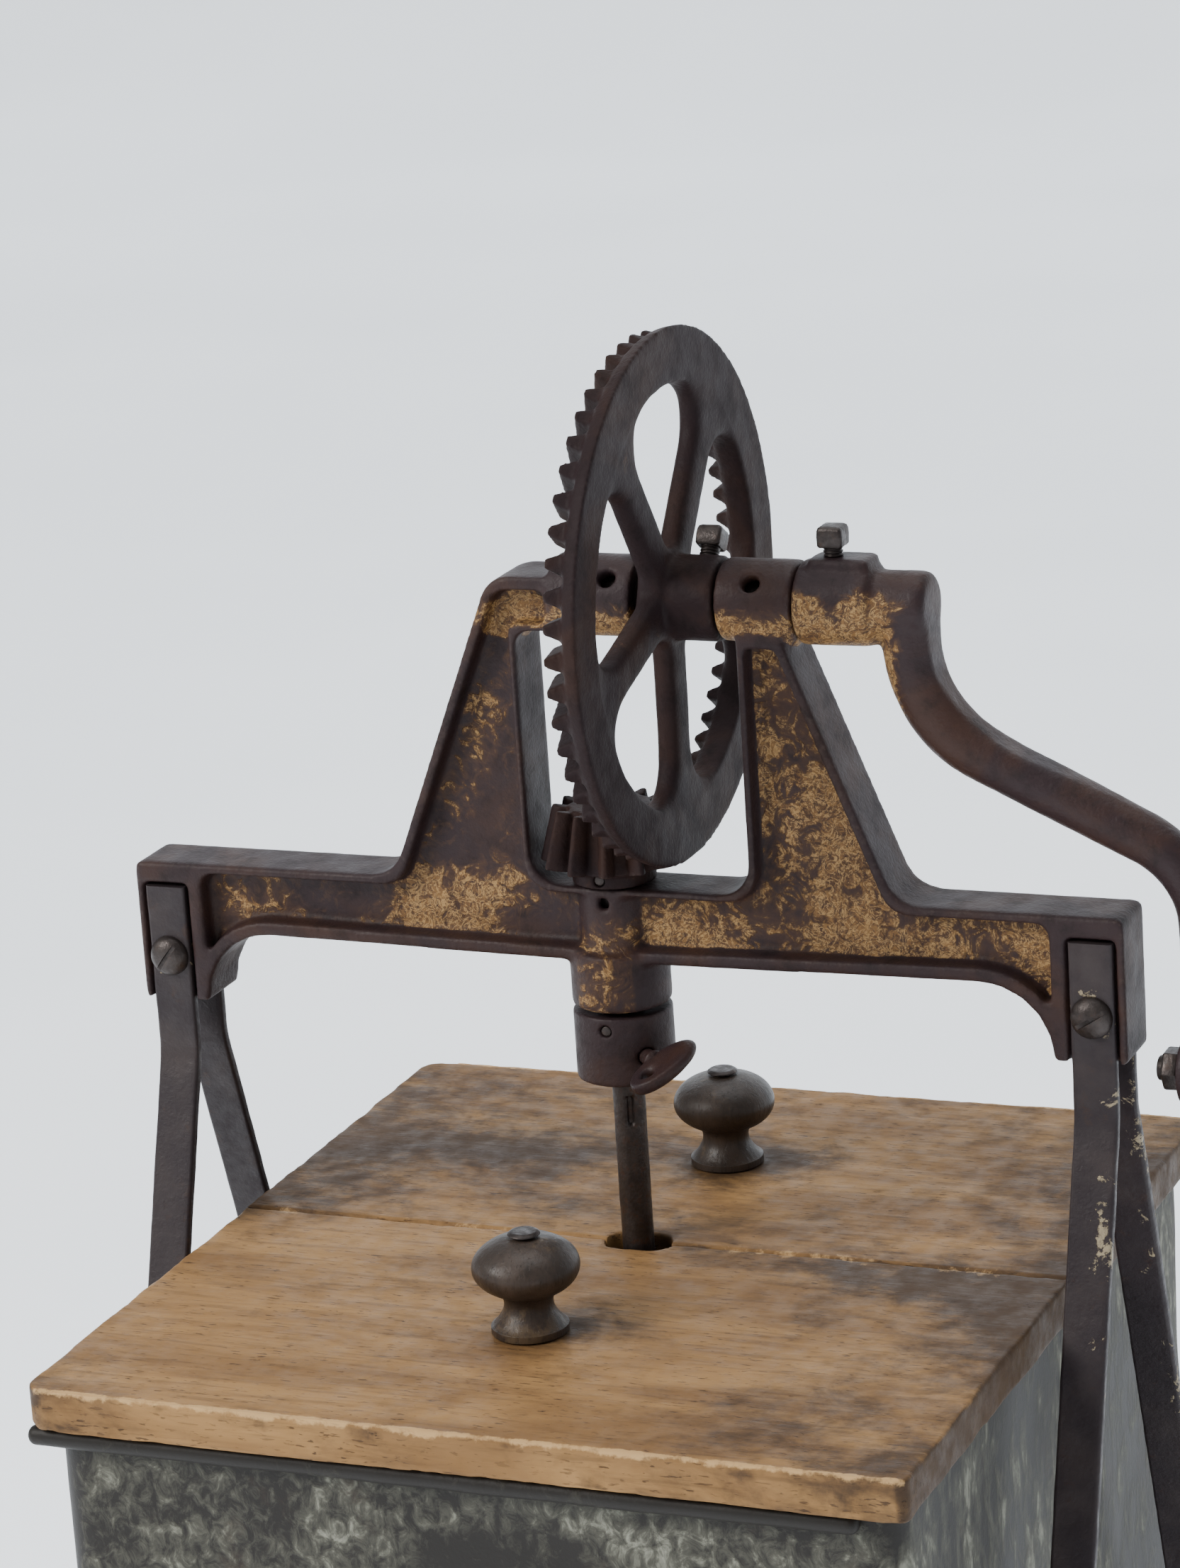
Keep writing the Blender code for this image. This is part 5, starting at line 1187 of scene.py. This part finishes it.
for face, name in ((-1, "front"), (1, "back")):
    makeLid(face, name)
    for side in ("left", "right"):
        node = f"lid_cleat_{side}_{name}"
        points, faces, _ = slab(*bar(node, 0.001, 0.003, 0.004), 0.0009, 3)
        values = {"stain_and_shade": np.full(len(points), 0.3)}
        piece(node, "_batten", (points, faces), "lid_" + name, cleatWood, values)

knobForm = {"radius": 0.0197, "base": 0.0142, "neck": 0.0099, "cap": 0.68, "lip": -52}


def knobShape(node):
    # A cap like a flattened ball: radius R cos a, height c + b sin a, over a waisted neck and a foot.
    form = knobForm
    low, high = span(node)
    tall = high[2] - low[2]
    capZ = form["cap"] * tall
    turn = np.radians(np.linspace(90, form["lip"], 34))
    cap = np.column_stack([form["radius"] * np.cos(turn), capZ + (tall - capZ) * np.sin(turn)])
    lip = cap[-1]
    waist = np.linspace(0, 1, 16)[1:, None]
    start, end = np.array([lip[0] - 0.0012, lip[1] - 0.0002]), np.array([form["base"] - 0.0008, 0.0034])
    bow = np.array([form["neck"] - 0.0038, 0.30 * tall])
    neck = start * (1 - waist) ** 2 + bow * 2 * waist * (1 - waist) + end * waist ** 2
    foot = filleted([(*end, 0), (form["base"], 0.003, 0.0004), (form["base"], 0, 0.0005), (0, 0, 0)],
                    steps=4)
    outline = divided(np.vstack([cap, start, neck, foot[1:]]), 0.002)
    centre = footOf(node)
    return bumpedIn(turned(outline, centre, "Z", 96), 0.0004, 0.02, 131), centre, tall


for name in ("front", "back"):
    node = "knob_" + name
    shape, centre, tall = knobShape(node)
    height = (shape[0][:, 2] - centre[2]) / tall
    wear_and_highlight = 0.55 * eased(height, 0.42, 0.2) * (name == "front") + 0.25 * eased(height, 0.75, 0.95)
    wear_and_highlight = wear_and_highlight + 0.3 * wobble(shape[0], 0.02, 132)
    values = {"wear_and_highlight": np.clip(wear_and_highlight, 0, 0.8), "stain_and_shade": np.full(len(height), 0.1)}
    piece(node, "_turning", shape, "lid_" + name, knobWood, values)
    node = "knob_screw_" + name
    low, high = span(node)
    radius, headTall, shank = (high[0] - low[0]) / 2, 0.0012, 0.0024
    deep = high[2] - low[2]
    outline = filleted([(0, deep, 0), (radius * 0.8, deep, 0.0015), (radius, deep - headTall * 0.7, 0.0004),
                        (radius, deep - headTall, 0), (shank, deep - headTall, 0), (shank, 0, 0.0004),
                        (0, 0, 0)], steps=5)
    centre = footOf(node)
    piece(node, "_round", turned(divided(outline, 0.004), centre, "Z", 48), "lid_" + name, fastenerSteel)
print("lids")

# ---------- grip ----------

gripForm = {"radius": 0.0155, "bore": 0.0048, "ends": 0.0012}


def gripShape():
    # A barrel: radius = R (0.72 + 0.28 sin(pi (0.12 + 0.8 t)) ^ 1.2), with a fine ring cut near each end.
    form = gripForm
    low, high = span("crank_grip")
    length = high[0] - low[0]
    share = np.linspace(0, 1, 90)
    radius = form["radius"] * (0.72 + 0.28 * np.sin(np.pi * (0.12 + 0.8 * share)) ** 1.2)
    radius = radius - 0.0005 * (np.exp(-((share - 0.07) / 0.006) ** 2)
                                + np.exp(-((share - 0.93) / 0.006) ** 2))
    radius = radius - fallen(form["ends"], np.minimum(share, 1 - share) * length)
    outer = np.column_stack([radius, share * length])
    outline = np.vstack([[(form["bore"], 0.0003)], outer, [(form["bore"], length - 0.0003)],
                         [(form["bore"], 0.0003)]])
    return bumpedIn(turned(outline, (low[0], shaftY, gripZ), "X", 96), 0.0003, 0.02, 141), low[0], length


shape, start, length = gripShape()
share = (shape[0][:, 0] - start) / length
values = {"wear_and_highlight": np.clip(0.4 * np.sin(np.pi * share) + 0.3 * wobble(shape[0], 0.02, 142), 0, 0.8),
          "stain_and_shade": np.clip(0.35 - 0.35 * np.sin(np.pi * share) + 0.15 * wobble(shape[0], 0.03, 143), 0, 1)}
piece("crank_grip", "_turning", shape, "grip", gripWood, values)

# ---------- dasher ----------

dasherLook = {"hubHalf": 0.019, "corner": 0.004, "bladeThick": 0.010, "bladeSeat": 0.006,
              "bladeCorner": 0.012}
low, high = span("dasher_hub")
outline = divided(roundedRectangle(dasherLook["hubHalf"], dasherLook["hubHalf"], dasherLook["corner"]),
                  0.002)
deep = high[2] - low[2]
levels = [(0, 0.95), (0.0005, 0.985), (0.0014, 1)] + [(z, 1) for z in np.linspace(0.006, deep - 0.006, 30)]
levels += [(deep - 0.0014, 1), (deep - 0.0005, 0.985), (deep, 0.95)]
shape = bumpedIn(stacked(outline, levels, (spindleX, spindleY, low[2])), 0.0003, 0.02, 151)
piece("dasher_hub", "_block", shape, "dasher", hubWood)


def bladeShape(node, k):
    # A board in the plane of the spindle's axis, with rounded outer corners: stations run outwards and up.
    look = dasherLook
    low, high = span(node)
    out = np.array([[1, 0], [0, 1], [-1, 0], [0, -1]])[k]
    side = np.array([-out[1], out[0]])
    start = look["hubHalf"] - look["bladeSeat"]
    length = max(high[0] - low[0], high[1] - low[1])
    tall, corner = high[2] - low[2], look["bladeCorner"]
    away = corner * (1 - np.cos(np.linspace(0, np.pi / 2, 11)))
    b = np.concatenate([away, np.linspace(corner, tall - corner, 24)[1:-1], tall - away[::-1]])
    a = spaced(length, 0.0014, 0.004)
    reach = length - fallen(corner, np.minimum(b, tall - b))
    outward, up = np.broadcast_arrays(start + a[:, None] / length * reach, low[2] + b)
    plan = np.stack([outward, up], -1)
    points, faces, _ = slab(plan, -look["bladeThick"] / 2, look["bladeThick"] / 2, 0.0012, 4)
    flat = out * points[:, :1] + side * points[:, 2:]
    return np.column_stack([flat + (spindleX, spindleY), points[:, 1]]), faces


for k in range(4):
    node = f"dasher_blade_{k + 1}"
    centre = middle(node)[:2] - (spindleX, spindleY)
    k = int(round(math.degrees(math.atan2(centre[1], centre[0])) / 90)) % 4
    piece(node, "_board", bumpedIn(bladeShape(node, k), 0.0003, 0.03, 152), "dasher",
          bladeWoodX if k % 2 == 0 else bladeWoodY)
print("dasher")

# ---------- floor, light and camera ----------

stageLook = {"front": -7.0, "back": 6.0, "curve": 1.5, "tall": 7.0, "half": 9.0, "glow": 1.1}


def backdrop():
    # A profile (y, z), flat, then a quarter circle, then upright, drawn out along X.
    look = stageLook
    line = filleted([(look["front"], 0, 0), (look["back"], 0, look["curve"]),
                     (look["back"], look["tall"], 0)], steps=32)
    xs = np.linspace(-look["half"], look["half"], 3)
    grid = np.stack(np.broadcast_arrays(xs[None], line[:, :1], line[:, 1:]), -1)
    make = Finish("pale_backdrop")
    shade = make.band(make.noise(0.6, 3, 0.5), 0.3, 0.7)
    colour = make.blend(shade, tint(226, 229, 232), tint(238, 240, 242))
    glow = {"Emission Color": tint(236, 243, 250), "Emission Strength": look["glow"]}
    material = make.done(colour, None, None, Roughness=0.9, **glow)
    mesh = meshOf("backdrop", gridSurface(grid), None, False)
    mesh.shade_smooth()
    mesh.materials.append(material)
    made = bpy.data.objects.new("backdrop", mesh)
    bpy.context.scene.collection.objects.link(made)


backdrop()

lamps = {
    "key": {"place": (-1.9, -1.9, 2.3), "size": 1.6, "power": 94, "colour": (1.0, 0.98, 0.95)},
    "fill": {"place": (2.4, -1.6, 1.5), "size": 2.2, "power": 3, "colour": (0.93, 0.96, 1.0)},
    "above": {"place": (0.0, 0.3, 3.0), "size": 2.4, "power": 38, "colour": (0.96, 0.98, 1.0)},
}
for name, lamp in lamps.items():
    light = bpy.data.lights.new(name, "AREA")
    light.shape, light.size, light.energy, light.color = "DISK", lamp["size"], lamp["power"], lamp["colour"]
    made = bpy.data.objects.new(name, light)
    made.location = lamp["place"]
    made.rotation_euler = (Vector((-0.05, 0, 0.45)) - made.location).to_track_quat("-Z", "Y").to_euler()
    bpy.context.scene.collection.objects.link(made)

roomLook = {"colour": (0.94, 0.97, 1.0, 1.0), "strength": 0.3}
world = bpy.data.worlds.new("soft_room")
world.use_nodes = True
background = world.node_tree.nodes["Background"]
background.inputs[0].default_value = roomLook["colour"]
background.inputs[1].default_value = roomLook["strength"]
bpy.context.scene.world = world

cameraLook = {"place": (0.62098, -1.60930, 1.03811), "yaw": 23.319, "pitch": -15.911, "roll": -3.804,
              "lens": 153.64}


def placeCamera():
    look = cameraLook
    yaw, pitch, roll = (math.radians(look[key]) for key in ("yaw", "pitch", "roll"))
    ahead = Vector((-math.sin(yaw) * math.cos(pitch), math.cos(yaw) * math.cos(pitch), math.sin(pitch)))
    level = Vector((math.cos(yaw), math.sin(yaw), 0))
    upright = level.cross(ahead)
    right = math.cos(roll) * level + math.sin(roll) * upright
    up = math.cos(roll) * upright - math.sin(roll) * level
    turn = Matrix((right, up, -ahead)).transposed().to_4x4()
    data = bpy.data.cameras.new("camera")
    data.lens, data.sensor_width, data.sensor_fit = look["lens"], 36, "HORIZONTAL"
    camera = bpy.data.objects.new("camera", data)
    camera.matrix_world = Matrix.Translation(look["place"]) @ turn
    bpy.context.scene.collection.objects.link(camera)
    bpy.context.scene.camera = camera


placeCamera()
print("stage")
